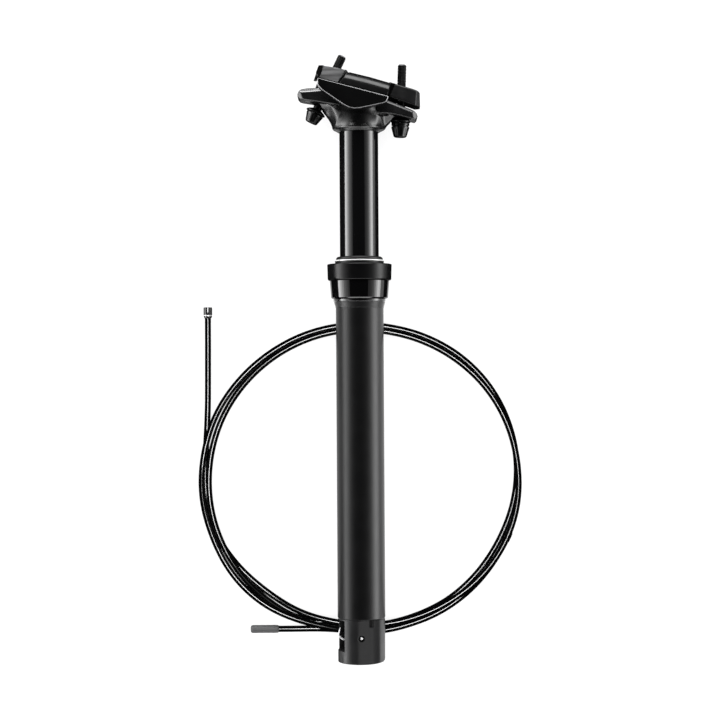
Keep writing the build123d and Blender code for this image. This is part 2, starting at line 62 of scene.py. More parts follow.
# ------------------------------------------------------------------ materials
def material(name, base, rough, metallic=0.0, ior=1.5, specular=0.5, coat=0.0, coat_rough=0.05,
             grain=0.0, grain_scale=3000.0, vary=0.0, vary_scale=60.0, rough_vary=0.0, streak=None,
             bump_mm=0.02, sheen=0.0):
    """A principled material: colour and roughness vary with noise, and the grain is a fine bump."""
    m = bpy.data.materials.new(name)
    m.use_nodes = True
    nt = m.node_tree
    bsdf = nt.nodes["Principled BSDF"]
    bsdf.inputs["Metallic"].default_value = metallic
    bsdf.inputs["IOR"].default_value = ior
    bsdf.inputs["Specular IOR Level"].default_value = specular
    bsdf.inputs["Coat Weight"].default_value = coat
    bsdf.inputs["Coat Roughness"].default_value = coat_rough
    bsdf.inputs["Sheen Weight"].default_value = sheen
    coord = nt.nodes.new("ShaderNodeTexCoord")
    mapping = nt.nodes.new("ShaderNodeMapping")
    nt.links.new(coord.outputs["Object"], mapping.inputs["Vector"])
    if streak:
        mapping.inputs["Rotation"].default_value = (0.0, 0.0, streak[1])
        mapping.inputs["Scale"].default_value = streak[0]
    noise = nt.nodes.new("ShaderNodeTexNoise")
    noise.inputs["Scale"].default_value = vary_scale
    noise.inputs["Detail"].default_value = 4.0
    nt.links.new(mapping.outputs["Vector"], noise.inputs["Vector"])
    lo = tuple(c * (1.0 - vary) for c in base) + (1.0,)
    hi = tuple(min(1.0, c * (1.0 + vary)) for c in base) + (1.0,)
    mix = nt.nodes.new("ShaderNodeMix")
    mix.data_type = "RGBA"
    mix.inputs["A"].default_value = lo
    mix.inputs["B"].default_value = hi
    nt.links.new(noise.outputs["Fac"], mix.inputs["Factor"])
    nt.links.new(mix.outputs["Result"], bsdf.inputs["Base Color"])
    ramp = nt.nodes.new("ShaderNodeMapRange")
    ramp.inputs["From Min"].default_value = 0.3
    ramp.inputs["From Max"].default_value = 0.7
    ramp.inputs["To Min"].default_value = max(0.02, rough - rough_vary)
    ramp.inputs["To Max"].default_value = min(1.0, rough + rough_vary)
    nt.links.new(noise.outputs["Fac"], ramp.inputs["Value"])
    nt.links.new(ramp.outputs["Result"], bsdf.inputs["Roughness"])
    if grain > 0:
        fine = nt.nodes.new("ShaderNodeTexNoise")
        fine.inputs["Scale"].default_value = grain_scale
        fine.inputs["Detail"].default_value = 2.0
        nt.links.new(mapping.outputs["Vector"], fine.inputs["Vector"])
        bump = nt.nodes.new("ShaderNodeBump")
        bump.inputs["Strength"].default_value = grain
        bump.inputs["Distance"].default_value = bump_mm * MM
        nt.links.new(fine.outputs["Fac"], bump.inputs["Height"])
        nt.links.new(bump.outputs["Normal"], bsdf.inputs["Normal"])
    return m


TILT = math.radians(14.8)
M = {
    "tube": material("tube_matte", (0.0035, 0.0035, 0.0037), 0.36, specular=0.34, grain=0.35, grain_scale=5200, vary=0.12,
                     vary_scale=90, rough_vary=0.02),
    "lip": material("lip_satin", (0.003, 0.003, 0.0032), 0.2, specular=0.85, grain=0.2, grain_scale=5000, vary=0.15, rough_vary=0.03,
                    streak=((1, 30, 1), 0.0)),
    "gloss": material("ring_gloss", (0.002, 0.002, 0.0021), 0.07, ior=1.52, coat=0.3, coat_rough=0.04, vary=0.1,
                      rough_vary=0.015, grain=0.02, grain_scale=900),
    "knurl": material("collar_knurl", (0.003, 0.003, 0.0032), 0.2, specular=0.22, grain=0.25, grain_scale=6000, vary=0.2,
                      vary_scale=120, rough_vary=0.05),
    "rubber": material("seal_rubber", (0.004, 0.004, 0.004), 0.42, specular=0.35, grain=0.3, grain_scale=4000, vary=0.15, rough_vary=0.05),
    "trim": material("trim_pale", (0.8, 0.8, 0.8), 0.35, metallic=0.2, grain=0.05, vary=0.03, rough_vary=0.04),
    "stanchion": material("slider_polished", (0.0028, 0.0028, 0.003), 0.11, ior=1.65, vary=0.1, vary_scale=400,
                          rough_vary=0.012, grain=0.03, grain_scale=2600, streak=((1, 12, 1), 0.0)),
    "head": material("head_satin", (0.003, 0.003, 0.0032), 0.26, specular=0.5, grain=0.18, grain_scale=4200, vary=0.2,
                     vary_scale=140, rough_vary=0.05),
    "cradle": material("cradle_flat", (0.0012, 0.0012, 0.0013), 0.34, specular=0.14, grain=0.35, grain_scale=3800, vary=0.12,
                       rough_vary=0.04),
    "clamp": material("clamp_satin", (0.0035, 0.0035, 0.0037), 0.30, specular=0.5, grain=0.2, grain_scale=4200, vary=0.25,
                      vary_scale=120, rough_vary=0.06),
    "edge": material("machined_edge", (0.22, 0.22, 0.224), 0.5, metallic=0.8, grain=0.15, grain_scale=5000, vary=0.08,
                     rough_vary=0.05),
    "brushed": material("clamp_brushed", (0.15, 0.15, 0.152), 0.42, metallic=0.6, grain=0.5, grain_scale=900, vary=0.95,
                        vary_scale=260, rough_vary=0.08, streak=((0.12, 2.2, 2.2), TILT), bump_mm=0.03),
    "bolt": material("bolt_black", (0.0025, 0.0025, 0.0026), 0.22, specular=0.42, grain=0.15, grain_scale=4000, vary=0.25,
                     vary_scale=220, rough_vary=0.05),
    "cord": material("cord_jacket", (0.0025, 0.0025, 0.0027), 0.15, ior=1.5, grain=0.12, grain_scale=2500, vary=0.15,
                     vary_scale=60, rough_vary=0.03),
    "ferrule": material("ferrule_gloss", (0.006, 0.006, 0.0062), 0.12, ior=1.55, vary=0.1, rough_vary=0.02, grain=0.03),
    "pale_ring": material("ferrule_ring", (0.72, 0.72, 0.73), 0.3, metallic=0.7, vary=0.05, rough_vary=0.03, grain=0.05),
    "sleeve": material("sleeve_matt", (0.045, 0.045, 0.046), 0.55, grain=0.5, grain_scale=2600, vary=0.15, rough_vary=0.06),
    "actuator": material("actuator_matt", (0.012, 0.012, 0.0126), 0.34, specular=0.3, grain=0.35, grain_scale=4600, vary=0.18,
                         vary_scale=110, rough_vary=0.05),
    "silver": material("lever_silver", (0.78, 0.78, 0.79), 0.42, metallic=0.3, grain=0.1, grain_scale=3000, vary=0.06,
                       rough_vary=0.05, streak=((1, 8, 1), 0.0)),
    "steel": material("steel_ground", (0.55, 0.55, 0.56), 0.25, metallic=1.0, grain=0.1, vary=0.08, rough_vary=0.05),
    "shade": material("slot_shade", (0.002, 0.002, 0.0021), 0.6, specular=0.2, grain=0.2, grain_scale=3000, vary=0.1, rough_vary=0.05),
    # painted highlight: the pin's domed end is coloured pale in place of the glint on its polished end
    "pin_end": material("pin_end_painted_highlight", (0.86, 0.86, 0.86), 0.45, metallic=0.3, vary=0.03, rough_vary=0.04, grain=0.05),
    "block": material("clamp_block_satin", (0.005, 0.005, 0.0052), 0.36, specular=0.4, grain=0.3, grain_scale=3600, vary=0.3, vary_scale=150,
                      rough_vary=0.06),
    "alu": material("aluminium_turned", (0.62, 0.62, 0.63), 0.32, metallic=1.0, grain=0.15, vary=0.08, rough_vary=0.05,
                    streak=((1, 25, 1), 0.0)),
    "polymer": material("bushing_polymer", (0.52, 0.5, 0.45), 0.45, grain=0.2, vary=0.05, rough_vary=0.05),
    # painted shade: a near-black that reflects almost nothing, for the clamp's cut-back end and the gap before the
    # block
    "end_shade": material("cut_end_painted_shade", (0.001, 0.001, 0.001), 0.5, specular=0.02, grain=0.1, vary=0.1),
    # painted shade: a darker, duller copy of the bolt's black for the threaded length, standing in for the shade in the
    # grooves
    "thread": material("thread_painted_shade", (0.0015, 0.0015, 0.0016), 0.3, specular=0.2, grain=0.2, grain_scale=4000, vary=0.2, rough_vary=0.05),
    "taper": material("taper_matt", (0.006, 0.006, 0.0062), 0.36, specular=0.34, grain=0.3, grain_scale=5000, vary=0.12, rough_vary=0.03),
    # painted shade: the wire barrel's brass darkened for the shade it sits in deep in the slot
    "barrel": material("barrel_brass_painted_shade", (0.05, 0.042, 0.025), 0.5, metallic=0.6, vary=0.1, rough_vary=0.05, grain=0.1),
    "brass": material("brass_plain", (0.70, 0.52, 0.24), 0.3, metallic=1.0, grain=0.1, vary=0.06, rough_vary=0.05),
}

NODE_MATERIAL = {
    "outer_tube": "tube", "lower_lip": "lip", "gloss_ring": "gloss", "knurled_collar": "knurl", "lower_seal": "rubber",
    "seal_trim_ring": "trim", "wiper_seal": "rubber", "upper_bushing": "polymer", "topout_spacer": "polymer",
    "key_pin_1": "brass", "key_pin_2": "brass", "key_pin_3": "brass", "stanchion_tube": "stanchion",
    "lower_bushing": "polymer", "rod_end_plug": "alu", "cartridge_body": "alu", "cartridge_base": "alu",
    "retaining_ring": "steel", "cartridge_gland": "polymer", "piston_rod": "steel", "piston": "alu",
    "floating_piston": "polymer", "release_pin": "steel", "return_spring": "steel", "actuator_housing": "actuator",
    "cable_stop": "alu", "lever_pivot_pin": "steel", "end_screw": "bolt", "actuator_lever": "silver",
    "wire_barrel": "barrel", "head_forging": "head", "lower_cradle": "cradle", "upper_clamp": "clamp",
    "rear_washer": "bolt", "front_washer": "bolt", "rear_bolt": "bolt", "front_bolt": "bolt", "rear_nut": "steel",
    "front_nut": "steel", "housing_ferrule": "ferrule", "housing_coil": "cord", "housing_straight": "cord",
    "housing_lead": "cord", "short_lead": "cord", "end_sleeve": "sleeve",
}
for node, key in NODE_MATERIAL.items():
    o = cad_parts[node]
    if not o.material_slots:
        o.data.materials.append(M[key])
    for s in o.material_slots:
        s.material = M[key]


# ------------------------------------------------------------------ meshes
def put(name, verts, faces, mats, body, replaces=(), smooth=True, mat_index=None, angle=None):
    """A mesh object from points in millimetres."""
    me = bpy.data.meshes.new(name)
    me.from_pydata((np.asarray(verts, float) * MM).tolist(), [], [list(map(int, f)) for f in faces])
    me.validate()
    for m in mats:
        me.materials.append(m)
    if mat_index is not None:
        me.polygons.foreach_set("material_index", np.asarray(mat_index, np.int32))
    me.polygons.foreach_set("use_smooth", [smooth] * len(me.polygons))
    me.update()
    o = bpy.data.objects.new(name, me)
    bpy.context.collection.objects.link(o)
    if angle is not None:
        sharp_by_angle(me, angle)
    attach(o, body)
    if replaces:
        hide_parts(*replaces)
    return o


def sharp_by_angle(me, degrees):
    """Edges that turn more than this stay crisp."""
    import bmesh
    bm = bmesh.new()
    bm.from_mesh(me)
    lim = math.radians(degrees)
    for e in bm.edges:
        if len(e.link_faces) == 2 and e.calc_face_angle(0.0) > lim:
            e.smooth = False
    bm.to_mesh(me)
    bm.free()


def rounded(points, radius, steps=4, closed=False):
    """An outline with its corners rounded: radius is one number or one for each corner."""
    pts = [np.array(p, float) for p in points]
    n = len(pts)
    out = []
    for i in range(n):
        r = radius[i] if hasattr(radius, "__len__") else radius
        if not closed and i in (0, n - 1) or r <= 0:
            out.append(pts[i])
            continue
        a, b, c = pts[i - 1], pts[i], pts[(i + 1) % n]
        d0, d1 = (a - b), (c - b)
        l0, l1 = np.linalg.norm(d0), np.linalg.norm(d1)
        if l0 < 1e-9 or l1 < 1e-9:
            out.append(b)
            continue
        d0, d1 = d0 / l0, d1 / l1
        ang = math.acos(max(-1.0, min(1.0, float(d0 @ d1))))
        if ang > math.pi - 1e-3:
            out.append(b)
            continue
        t = min(r / math.tan(ang / 2), 0.48 * l0, 0.48 * l1)
        rr = t * math.tan(ang / 2)
        bis = (d0 + d1) / np.linalg.norm(d0 + d1)
        cen = b + bis * (rr / math.sin(ang / 2))
        p0, p1 = b + d0 * t, b + d1 * t
        a0 = math.atan2(*(p0 - cen)[::-1])
        a1 = math.atan2(*(p1 - cen)[::-1])
        da = (a1 - a0 + math.pi) % (2 * math.pi) - math.pi
        for k in range(steps + 1):
            w = a0 + da * k / steps
            out.append(cen + rr * np.array([math.cos(w), math.sin(w)]))
    return [tuple(p) for p in out]


def turned_piece(name, profile, mats, body, replaces=(), segs=144, closed=True, mat_of=None, centre=(0.0, AXIS_Z),
                 angle=40, radius_at=None):
    """A profile of (radius, y) turned about the post's axis."""
    n = len(profile)
    ang = np.linspace(0, 2 * math.pi, segs, endpoint=False)
    verts = []
    for r, y in profile:
        rr = np.full(segs, r) if radius_at is None else radius_at(r, y, ang)
        verts.append(np.stack([centre[0] + rr * np.sin(ang), np.full(segs, y), centre[1] + rr * np.cos(ang)], 1))
    verts = np.concatenate(verts)
    faces, idx = [], []
    rows = n if closed else n - 1
    for i in range(rows):
        j = (i + 1) % n
        for k in range(segs):
            q = (k + 1) % segs
            faces.append((i * segs + k, i * segs + q, j * segs + q, j * segs + k))
            idx.append(mat_of(i) if mat_of else 0)
    return put(name, verts, faces, mats, body, replaces, mat_index=idx, angle=angle)


# ------------------------------------------------------------------ cords
def nurbs(name, points, radius, mat, resolution=10):
    cu = bpy.data.curves.new(name, "CURVE")
    cu.dimensions = "3D"
    cu.resolution_u = resolution
    cu.bevel_depth = radius * MM
    cu.bevel_resolution = 5
    cu.use_fill_caps = True
    sp = cu.splines.new("NURBS")
    sp.points.add(len(points) - 1)
    for p, co in zip(sp.points, points):
        p.co = (co[0] * MM, co[1] * MM, co[2] * MM, 1.0)
    sp.order_u = 3
    sp.use_endpoint_u = True
    sp.resolution_u = resolution
    cu.materials.append(mat)
    o = bpy.data.objects.new(name, cu)
    bpy.context.collection.objects.link(o)
    return o


# The long housing, from its stop in the actuator, round the coil, to its ferrule.
PORT = [(6.9, -184.0, 14.07), (-4.9, -184.3, 9.94)]
TURNS = [
    (-42.7, -176.8, 7.03), (-68.2, -164.6, 6.70), (-88.1, -144.8, 6.34), (-101.0, -119.5, 5.79), (-108.0, -92.1, 6.21),
    (-106.5, -64.2, 6.89), (-98.5, -37.3, 4.65), (-82.9, -14.1, 2.46), (-62.2, 4.3, 2.10), (-37.9, 17.2, 2.14),
    (-11.1, 23.4, 2.12), (16.3, 22.6, 2.10), (43.1, 16.0, 2.10), (67.6, 2.6, 2.10), (87.5, -17.4, 2.10),
    (100.7, -42.4, 2.10), (106.6, -69.8, 2.10), (104.2, -97.6, 2.10), (94.3, -123.2, 2.10), (79.5, -145.6, 2.10),
    (59.7, -163.6, 2.10), (35.9, -175.1, 2.10), (10.4, -181.1, 2.13), (-16.2, -178.9, 2.10), (-42.2, -176.9, 2.14),
    (-65.9, -161.8, 3.96), (-84.3, -142.5, 6.27), (-97.2, -117.9, 6.40), (-103.1, -91.8, 5.73), (-101.9, -64.7, 4.82),
    (-94.1, -39.2, 4.02), (-79.5, -16.6, 4.34), (-59.9, 1.4, 4.86), (-36.5, 13.9, 5.05), (-10.8, 20.1, 5.20),
    (15.7, 19.5, 5.44), (41.6, 12.9, 5.57), (65.3, 0.0, 5.58), (85.3, -18.8, 5.71), (99.4, -42.6, 6.14),
    (106.5, -69.6, 6.37), (106.7, -97.7, 6.35), (98.2, -124.6, 6.31), (82.1, -147.4, 6.29), (60.5, -164.4, 6.29),
    (36.2, -175.5, 6.30), (10.2, -180.4, 6.33), (-15.5, -178.4, 6.26), (-40.9, -171.9, 4.96), (-63.0, -158.5, 2.55),
    (-83.1, -141.1, 2.10), (-98.6, -119.0, 2.26), (-105.4, -92.1, 2.14), (-105.2, -68.0, 2.10)]
STRAIGHT = [(-103.2, -36.0, 2.10), (-103.0, -8.0, 2.10), (-102.8, 12.0, 2.90), (-102.8, 28.0, 2.90)]
long_housing = nurbs("long_housing", PORT + TURNS + STRAIGHT, 2.1, M["cord"])
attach(long_housing, "post_outer")
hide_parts("housing_coil", "housing_straight", "housing_lead")

# The short lead, from under the coil to its sleeve.
SHORT = [(99.1, -121.2, 2.10), (92.8, -134.6, 2.10), (75.2, -156.5, 2.10), (52.7, -172.7, 2.10), (27.0, -182.0, 2.10),
         (6.9, -185.1, 2.10), (-12.0, -183.4, 2.10), (-28.0, -182.4, 2.10), (-44.0, -182.5, 2.70), (-56.0, -182.5, 2.70)]
short_housing = nurbs("short_housing", SHORT, 2.1, M["cord"])
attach(short_housing, "post_outer")
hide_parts("short_lead")


def along(name, stations, origin, direction, mats, body, replaces=(), segs=48, mat_of=None, closed_ends=True,
          angle=35):
    """A turned piece about a line: stations are (distance, radius)."""
    o = Vector(origin)
    d = Vector(direction).normalized()
    x = d.orthogonal().normalized()
    y = d.cross(x)
    verts, faces, idx = [], [], []
    for t, r in stations:
        for k in range(segs):
            a = 2 * math.pi * k / segs
            verts.append(tuple(o + d * t + x * (r * math.cos(a)) + y * (r * math.sin(a))))
    for i in range(len(stations) - 1):
        for k in range(segs):
            q = (k + 1) % segs
            faces.append((i * segs + k, i * segs + q, (i + 1) * segs + q, (i + 1) * segs + k))
            idx.append(mat_of(i) if mat_of else 0)
    if closed_ends:
        faces.append(tuple(range(segs))[::-1])
        idx.append(mat_of(0) if mat_of else 0)
        base = (len(stations) - 1) * segs
        faces.append(tuple(base + k for k in range(segs)))
        idx.append(mat_of(len(stations) - 2) if mat_of else 0)
    return put(name, verts, faces, mats, body, replaces, mat_index=idx, angle=angle)


# the ferrule at the long housing's end: a plain cap, a pale ring, a short taper
fer = rounded([(0.0, 2.2), (0.4, 2.45), (1.3, 2.86), (1.55, 2.86), (1.55, 2.62), (2.15, 2.62), (2.15, 2.9), (7.3, 2.9), (7.3, 0.0)][:8],
              0.12, 3)
stations = [(t, r) for t, r in fer] + [(7.4, 2.55), (7.4, 1.5), (6.2, 1.3), (6.2, 0.05)]
ferrule = along("housing_end_ferrule", stations, (-102.8, 28.0, 2.9), (0, 1, 0), [M["ferrule"], M["pale_ring"]], "post_outer",
                ["housing_ferrule"],
                mat_of=lambda i: 1 if 1.50 < (stations[i][0] + stations[i + 1][0]) / 2 < 2.2 and stations[i][1] < 2.95 else 0)

# the shrunk sleeve on the short lead
slv = [(0.0, 0.05), (0.0, 1.55), (0.15, 2.0), (0.6, 2.45), (1.4, 2.66), (3.0, 2.7)]
for i in range(1, 13):
    t = 3.0 + i * 1.15
    slv.append((t, 2.66 + 0.035 * math.sin(i * 1.9) + 0.02 * math.cos(i * 4.1)))
slv += [(17.6, 2.62), (18.3, 2.5), (18.7, 2.35), (19.0, 2.2), (19.0, 2.12)]
sleeve = along("lead_end_sleeve", slv, (-75.0, -182.5, 2.7), (1, 0, 0), [M["sleeve"]], "post_outer", ["end_sleeve"])

# a small cap on the lead's other end, under the coil
d_end = (Vector(SHORT[0]) - Vector(SHORT[1])).normalized()
cap = along("lead_end_cap", [(-3.0, 2.12), (-3.0, 2.3), (-2.7, 2.42), (3.0, 2.42), (3.5, 2.2), (3.6, 0.05)],
            Vector(SHORT[0]) + Vector((0, 0, 0.32)), d_end, [M["ferrule"]], "post_outer", ())

CORD_PIECES = [long_housing, short_housing, ferrule, sleeve, cap]


# ------------------------------------------------------------------ collar parts
T_R = 15.5
lip_prof = rounded([(T_R, 33.7), (15.95, 33.7), (16.12, 33.95), (16.12, 34.5), (16.9, 37.2), (16.95, 37.75), (17.2, 37.8), (17.4, 38.1), (17.4, 39.35), (17.15, 39.7),
        (T_R, 39.7)], [0, 0.1, 0.15, 0.25, 0.3, 0.1, 0.1, 0.2, 0.2, 0.15, 0], 3)
turned_piece("lower_lip_rings", lip_prof, [M["lip"], M["taper"]], "post_outer", ["lower_lip"],
             mat_of=lambda i: 1 if lip_prof[i][1] < 37.3 else 0)

prof = rounded([(T_R, 39.72), (18.15, 39.72), (18.88, 40.45), (19.75, 51.5), (19.3, 52.0), (T_R, 52.0)], [0, 0.15, 0.3, 0.5, 0.25, 0], 5)
turned_piece("gloss_ring_shell", prof, [M["gloss"]], "post_outer", ["gloss_ring"], segs=180)


def knurled(name, body, replaces):
    """A collar with a crossed, diamond-cut grip between two plain rims."""
    n_around, per = 92, 8
    segs = n_around * per
    y0, y1 = 53.0, 62.1
    rows = 60
    depth = 0.05
    pitch = 2 * math.pi * 21.2 / n_around
    ang = np.linspace(0, 2 * math.pi, segs, endpoint=False)
    ys = [52.0, 52.0, 52.3, 52.75] + list(np.linspace(y0, y1, rows)) + [62.15, 62.35, 62.6, 62.6]
    rs = [15.5, 20.45, 20.85, 21.1] + [None] * rows + [21.35, 21.3, 21.05, 14.5]
    verts = []
    for y, r in zip(ys, rs):
        if r is None:
            base = 21.1 + 0.28 * (y - y0) / (y1 - y0)
            u = ang * n_around / (2 * math.pi)
            v = (y - y0) / pitch
            ta = 1 - np.abs(2 * ((u + v) % 1.0) - 1)
            tb = 1 - np.abs(2 * ((u - v) % 1.0) - 1)
            hgt = np.minimum(ta, tb)
            edge = min(1.0, (y - y0) / 0.5, (y1 - y) / 0.5)
            rr = base - depth * edge * (1 - np.minimum(1.0, hgt * 1.5))
        else:
            rr = np.full(segs, r)
        verts.append(np.stack([rr * np.sin(ang), np.full(segs, y), AXIS_Z + rr * np.cos(ang)], 1))
    n = len(ys)
    verts = np.concatenate(verts)
    faces = []
    for i in range(n):
        j = (i + 1) % n
        for k in range(segs):
            q = (k + 1) % segs
            faces.append((i * segs + k, i * segs + q, j * segs + q, j * segs + k))
    return put(name, verts, faces, [M["knurl"]], body, replaces, angle=55)


knurled("collar_knurled_grip", "post_outer", ["knurled_collar"])

turned_piece("lower_seal_ring", rounded([(14.5, 62.6), (15.75, 62.6), (16.1, 63.0), (16.2, 64.25), (16.05, 64.5), (14.5, 64.5)], 0.2, 3),
             [M["rubber"]], "post_outer", ["lower_seal"])
turned_piece("seal_trim_line", rounded([(14.5, 64.5), (16.4, 64.5), (16.4, 65.2), (14.5, 65.35)], [0, 0.15, 0.2, 0], 4),
             [M["trim"]], "post_outer", ["seal_trim_ring"])
turned_piece("wiper_lip", rounded([(12.95, 59.4), (14.5, 59.4), (14.5, 65.45), (15.3, 65.45), (15.5, 65.9), (15.4, 66.6), (14.6, 67.4),
                                   (13.6, 67.6), (12.92, 67.3), (12.92, 65.8), (13.3, 65.0)], 0.3, 4),
             [M["rubber"]], "post_outer", ["wiper_seal"])


# ------------------------------------------------------------------ modelled solids
def smin(a, b, k):
    """Union with a soft joint of radius k."""
    h = np.clip(0.5 + 0.5 * (b - a) / k, 0.0, 1.0)
    return b + (a - b) * h - k * h * (1.0 - h)


def smax(a, b, k):
    """Intersection with a rounded edge of radius about k."""
    return -smin(-a, -b, k)


def rmax(a, b, r):
    """Intersection of two faces with a true round of radius r on the edge."""
    u = np.maximum(a + r, 0.0)
    v = np.maximum(b + r, 0.0)
    return np.minimum(np.maximum(a, b), -r) + np.sqrt(u * u + v * v)


def poly_sdf(px, py, pts):
    """Signed distance to a closed outline."""
    pts = np.asarray(pts, float)
    n = len(pts)
    d = np.full(px.shape, 1e18)
    inside = np.zeros(px.shape, bool)
    for i in range(n):
        ax, ay = pts[i]
        bx, by = pts[(i + 1) % n]
        ex, ey = bx - ax, by - ay
        wx, wy = px - ax, py - ay
        t = np.clip((wx * ex + wy * ey) / (ex * ex + ey * ey), 0.0, 1.0)
        dx, dy = wx - ex * t, wy - ey * t
        d = np.minimum(d, dx * dx + dy * dy)
        if ey != 0.0:
            cross = ((ay > py) != (by > py)) & (px < ex * (py - ay) / ey + ax)
            inside ^= cross
    return np.sqrt(d) * np.where(inside, -1.0, 1.0)


def rod_sdf(x, y, z, a, d, r, t0, t1):
    """A cylinder about the line from a along d, between t0 and t1."""
    px, py, pz = x - a[0], y - a[1], z - a[2]
    t = px * d[0] + py * d[1] + pz * d[2]
    qx, qy, qz = px - d[0] * t, py - d[1] * t, pz - d[2] * t
    rad = np.sqrt(qx * qx + qy * qy + qz * qz) - r
    return np.maximum(rad, np.maximum(t0 - t, t - t1))


def sdf_mesh(f, lo, hi, h, project=3):
    """Vertices and quads of the surface f = 0 inside the box, on a grid of pitch h, each vertex moved onto the surface."""
    lo, hi = np.array(lo, float), np.array(hi, float)
    step = 4
    nc = np.ceil((hi - lo) / (h * step)).astype(int) + 1
    n = (nc - 1) * step + 1
    ax = [lo[i] + h * np.arange(n[i]) for i in range(3)]
    cx = [a[::step] for a in ax]
    G = np.meshgrid(*cx, indexing="ij")
    C = f(G[0].ravel(), G[1].ravel(), G[2].ravel()).reshape(nc)
    near = np.abs(C) < h * step * 2.2
    cell = np.zeros(nc - 1, bool)
    for i in (0, 1):
        for j in (0, 1):
            for k in (0, 1):
                cell |= near[i:nc[0] - 1 + i, j:nc[1] - 1 + j, k:nc[2] - 1 + k]
    F = np.repeat(np.repeat(np.repeat(C, step, 0), step, 1), step, 2)[:n[0], :n[1], :n[2]].copy()
    mask = np.zeros(n, bool)
    cl = np.repeat(np.repeat(np.repeat(cell, step, 0), step, 1), step, 2)
    for i in (0, 1):
        for j in (0, 1):
            for k in (0, 1):
                mask[i:i + cl.shape[0], j:j + cl.shape[1], k:k + cl.shape[2]] |= cl
    idx = np.nonzero(mask)
    F[idx] = f(ax[0][idx[0]], ax[1][idx[1]], ax[2][idx[2]])
    S = F < 0
    m = n - 1
    cnt = np.zeros(m, np.int8)
    for i in (0, 1):
        for j in (0, 1):
            for k in (0, 1):
                cnt += S[i:m[0] + i, j:m[1] + j, k:m[2] + k]
    mixed = (cnt > 0) & (cnt < 8)
    ci, cj, ck = np.nonzero(mixed)
    vid = np.full(m, -1, np.int64)
    vid[ci, cj, ck] = np.arange(len(ci))
    acc = np.zeros((len(ci), 3))
    num = np.zeros(len(ci))
    corners = [(0, 0, 0), (1, 0, 0), (0, 1, 0), (1, 1, 0), (0, 0, 1), (1, 0, 1), (0, 1, 1), (1, 1, 1)]
    for a in range(8):
        for b in range(a + 1, 8):
            da = np.array(corners[b]) - np.array(corners[a])
            if np.abs(da).sum() != 1:
                continue
            A, B = corners[a], corners[b]
            fa = F[ci + A[0], cj + A[1], ck + A[2]]
            fb = F[ci + B[0], cj + B[1], ck + B[2]]
            c = (fa < 0) != (fb < 0)
            t = np.where(c, fa / np.where(c, fa - fb, 1.0), 0.0)
            for q in range(3):
                acc[:, q] += np.where(c, A[q] + t * da[q], 0.0)
            num += c
    V = acc / num[:, None] + np.stack([ci, cj, ck], 1)
    V = lo + V * h
    faces = []
    for axis in range(3):
        s0 = [slice(0, n[q]) for q in range(3)]
        s1 = list(s0)
        s0[axis] = slice(0, n[axis] - 1)
        s1[axis] = slice(1, n[axis])
        A, B = S[tuple(s0)], S[tuple(s1)]
        e = np.nonzero(A != B)
        inside_first = A[e]
        u, w = [(1, 2), (2, 0), (0, 1)][axis]
        pos = np.stack(e, 1)
        ok = (pos[:, u] > 0) & (pos[:, w] > 0) & (pos[:, u] < n[u] - 1) & (pos[:, w] < n[w] - 1)
        pos, inside_first = pos[ok], inside_first[ok]
        quad = []
        for du, dw in ((-1, -1), (0, -1), (0, 0), (-1, 0)):
            q = pos.copy()
            q[:, u] += du
            q[:, w] += dw
            quad.append(vid[q[:, 0], q[:, 1], q[:, 2]])
        quad = np.stack(quad, 1)
        quad[~inside_first] = quad[~inside_first][:, ::-1]
        faces.append(quad)
    faces = np.concatenate(faces)
    faces = faces[(faces >= 0).all(1)]
    e = 0.02
    for _ in range(project):
        v0 = f(V[:, 0], V[:, 1], V[:, 2])
        g = np.stack([(f(V[:, 0] + (e if q == 0 else 0), V[:, 1] + (e if q == 1 else 0), V[:, 2] + (e if q == 2 else 0))
                       - f(V[:, 0] - (e if q == 0 else 0), V[:, 1] - (e if q == 1 else 0), V[:, 2] - (e if q == 2 else 0)))
                      for q in range(3)], 1) / (2 * e)
        gg = (g * g).sum(1)
        d = -g * (v0 / np.maximum(gg, 0.2))[:, None]
        ln = np.linalg.norm(d, axis=1)
        d *= np.minimum(1.0, 0.5 * h / np.maximum(ln, 1e-9))[:, None]
        V = V + d
    return V, faces


def solid(name, f, lo, hi, h, mats, body, replaces, paint=None, frame_of=None, angle=50, keep_low=0.0):
    """A piece from its distance function. frame_of turns its own coordinates into the shared frame."""
    V, Q = sdf_mesh(f, lo, hi, h)
    idx = None
    if paint is not None:
        C = V[Q].mean(1)
        a, b = V[Q[:, 2]] - V[Q[:, 0]], V[Q[:, 3]] - V[Q[:, 1]]
        N = np.cross(a, b)
        N /= np.maximum(np.linalg.norm(N, axis=1), 1e-9)[:, None]
        idx = paint(C, N)
    if frame_of is not None:
        V = frame_of(V)
    o = put(name, V, Q, mats, body, replaces, mat_index=idx, angle=angle)
    me = o.data
    import bmesh
    bm = bmesh.new()
    bm.from_mesh(me)
    parts, seen = [], set()
    for v in bm.verts:
        if v.index in seen:
            continue
        stack, group = [v], []
        seen.add(v.index)
        while stack:
            q = stack.pop()
            group.append(q)
            for e in q.link_edges:
                w = e.other_vert(q)
                if w.index not in seen:
                    seen.add(w.index)
                    stack.append(w)
        parts.append(group)
    if len(parts) > 1:
        big = max(len(g) for g in parts)
        for g in parts:
            if len(g) < big * 0.02:
                bmesh.ops.delete(bm, geom=g, context="VERTS")
        bm.to_mesh(me)
    bm.free()
    return o


CT, ST = math.cos(math.radians(-14.8)), math.sin(math.radians(-14.8))
REAR_DIR = np.array([21.08, 43.7, 0.0]) / math.hypot(21.08, 43.7)
REAR_SEAT = np.array([-27.25, 165.75, AXIS_Z])
FRONT_DIR = np.array([1.75, 49.12, 0.0]) / math.hypot(1.75, 49.12)
FRONT_SEAT = np.array([27.86, 159.6, AXIS_Z])
REAR_NUT = np.array([-18.1264, 184.664, AXIS_Z])
FRONT_NUT = np.array([28.3614, 173.674, AXIS_Z])
WASHER_BALL = 10.5

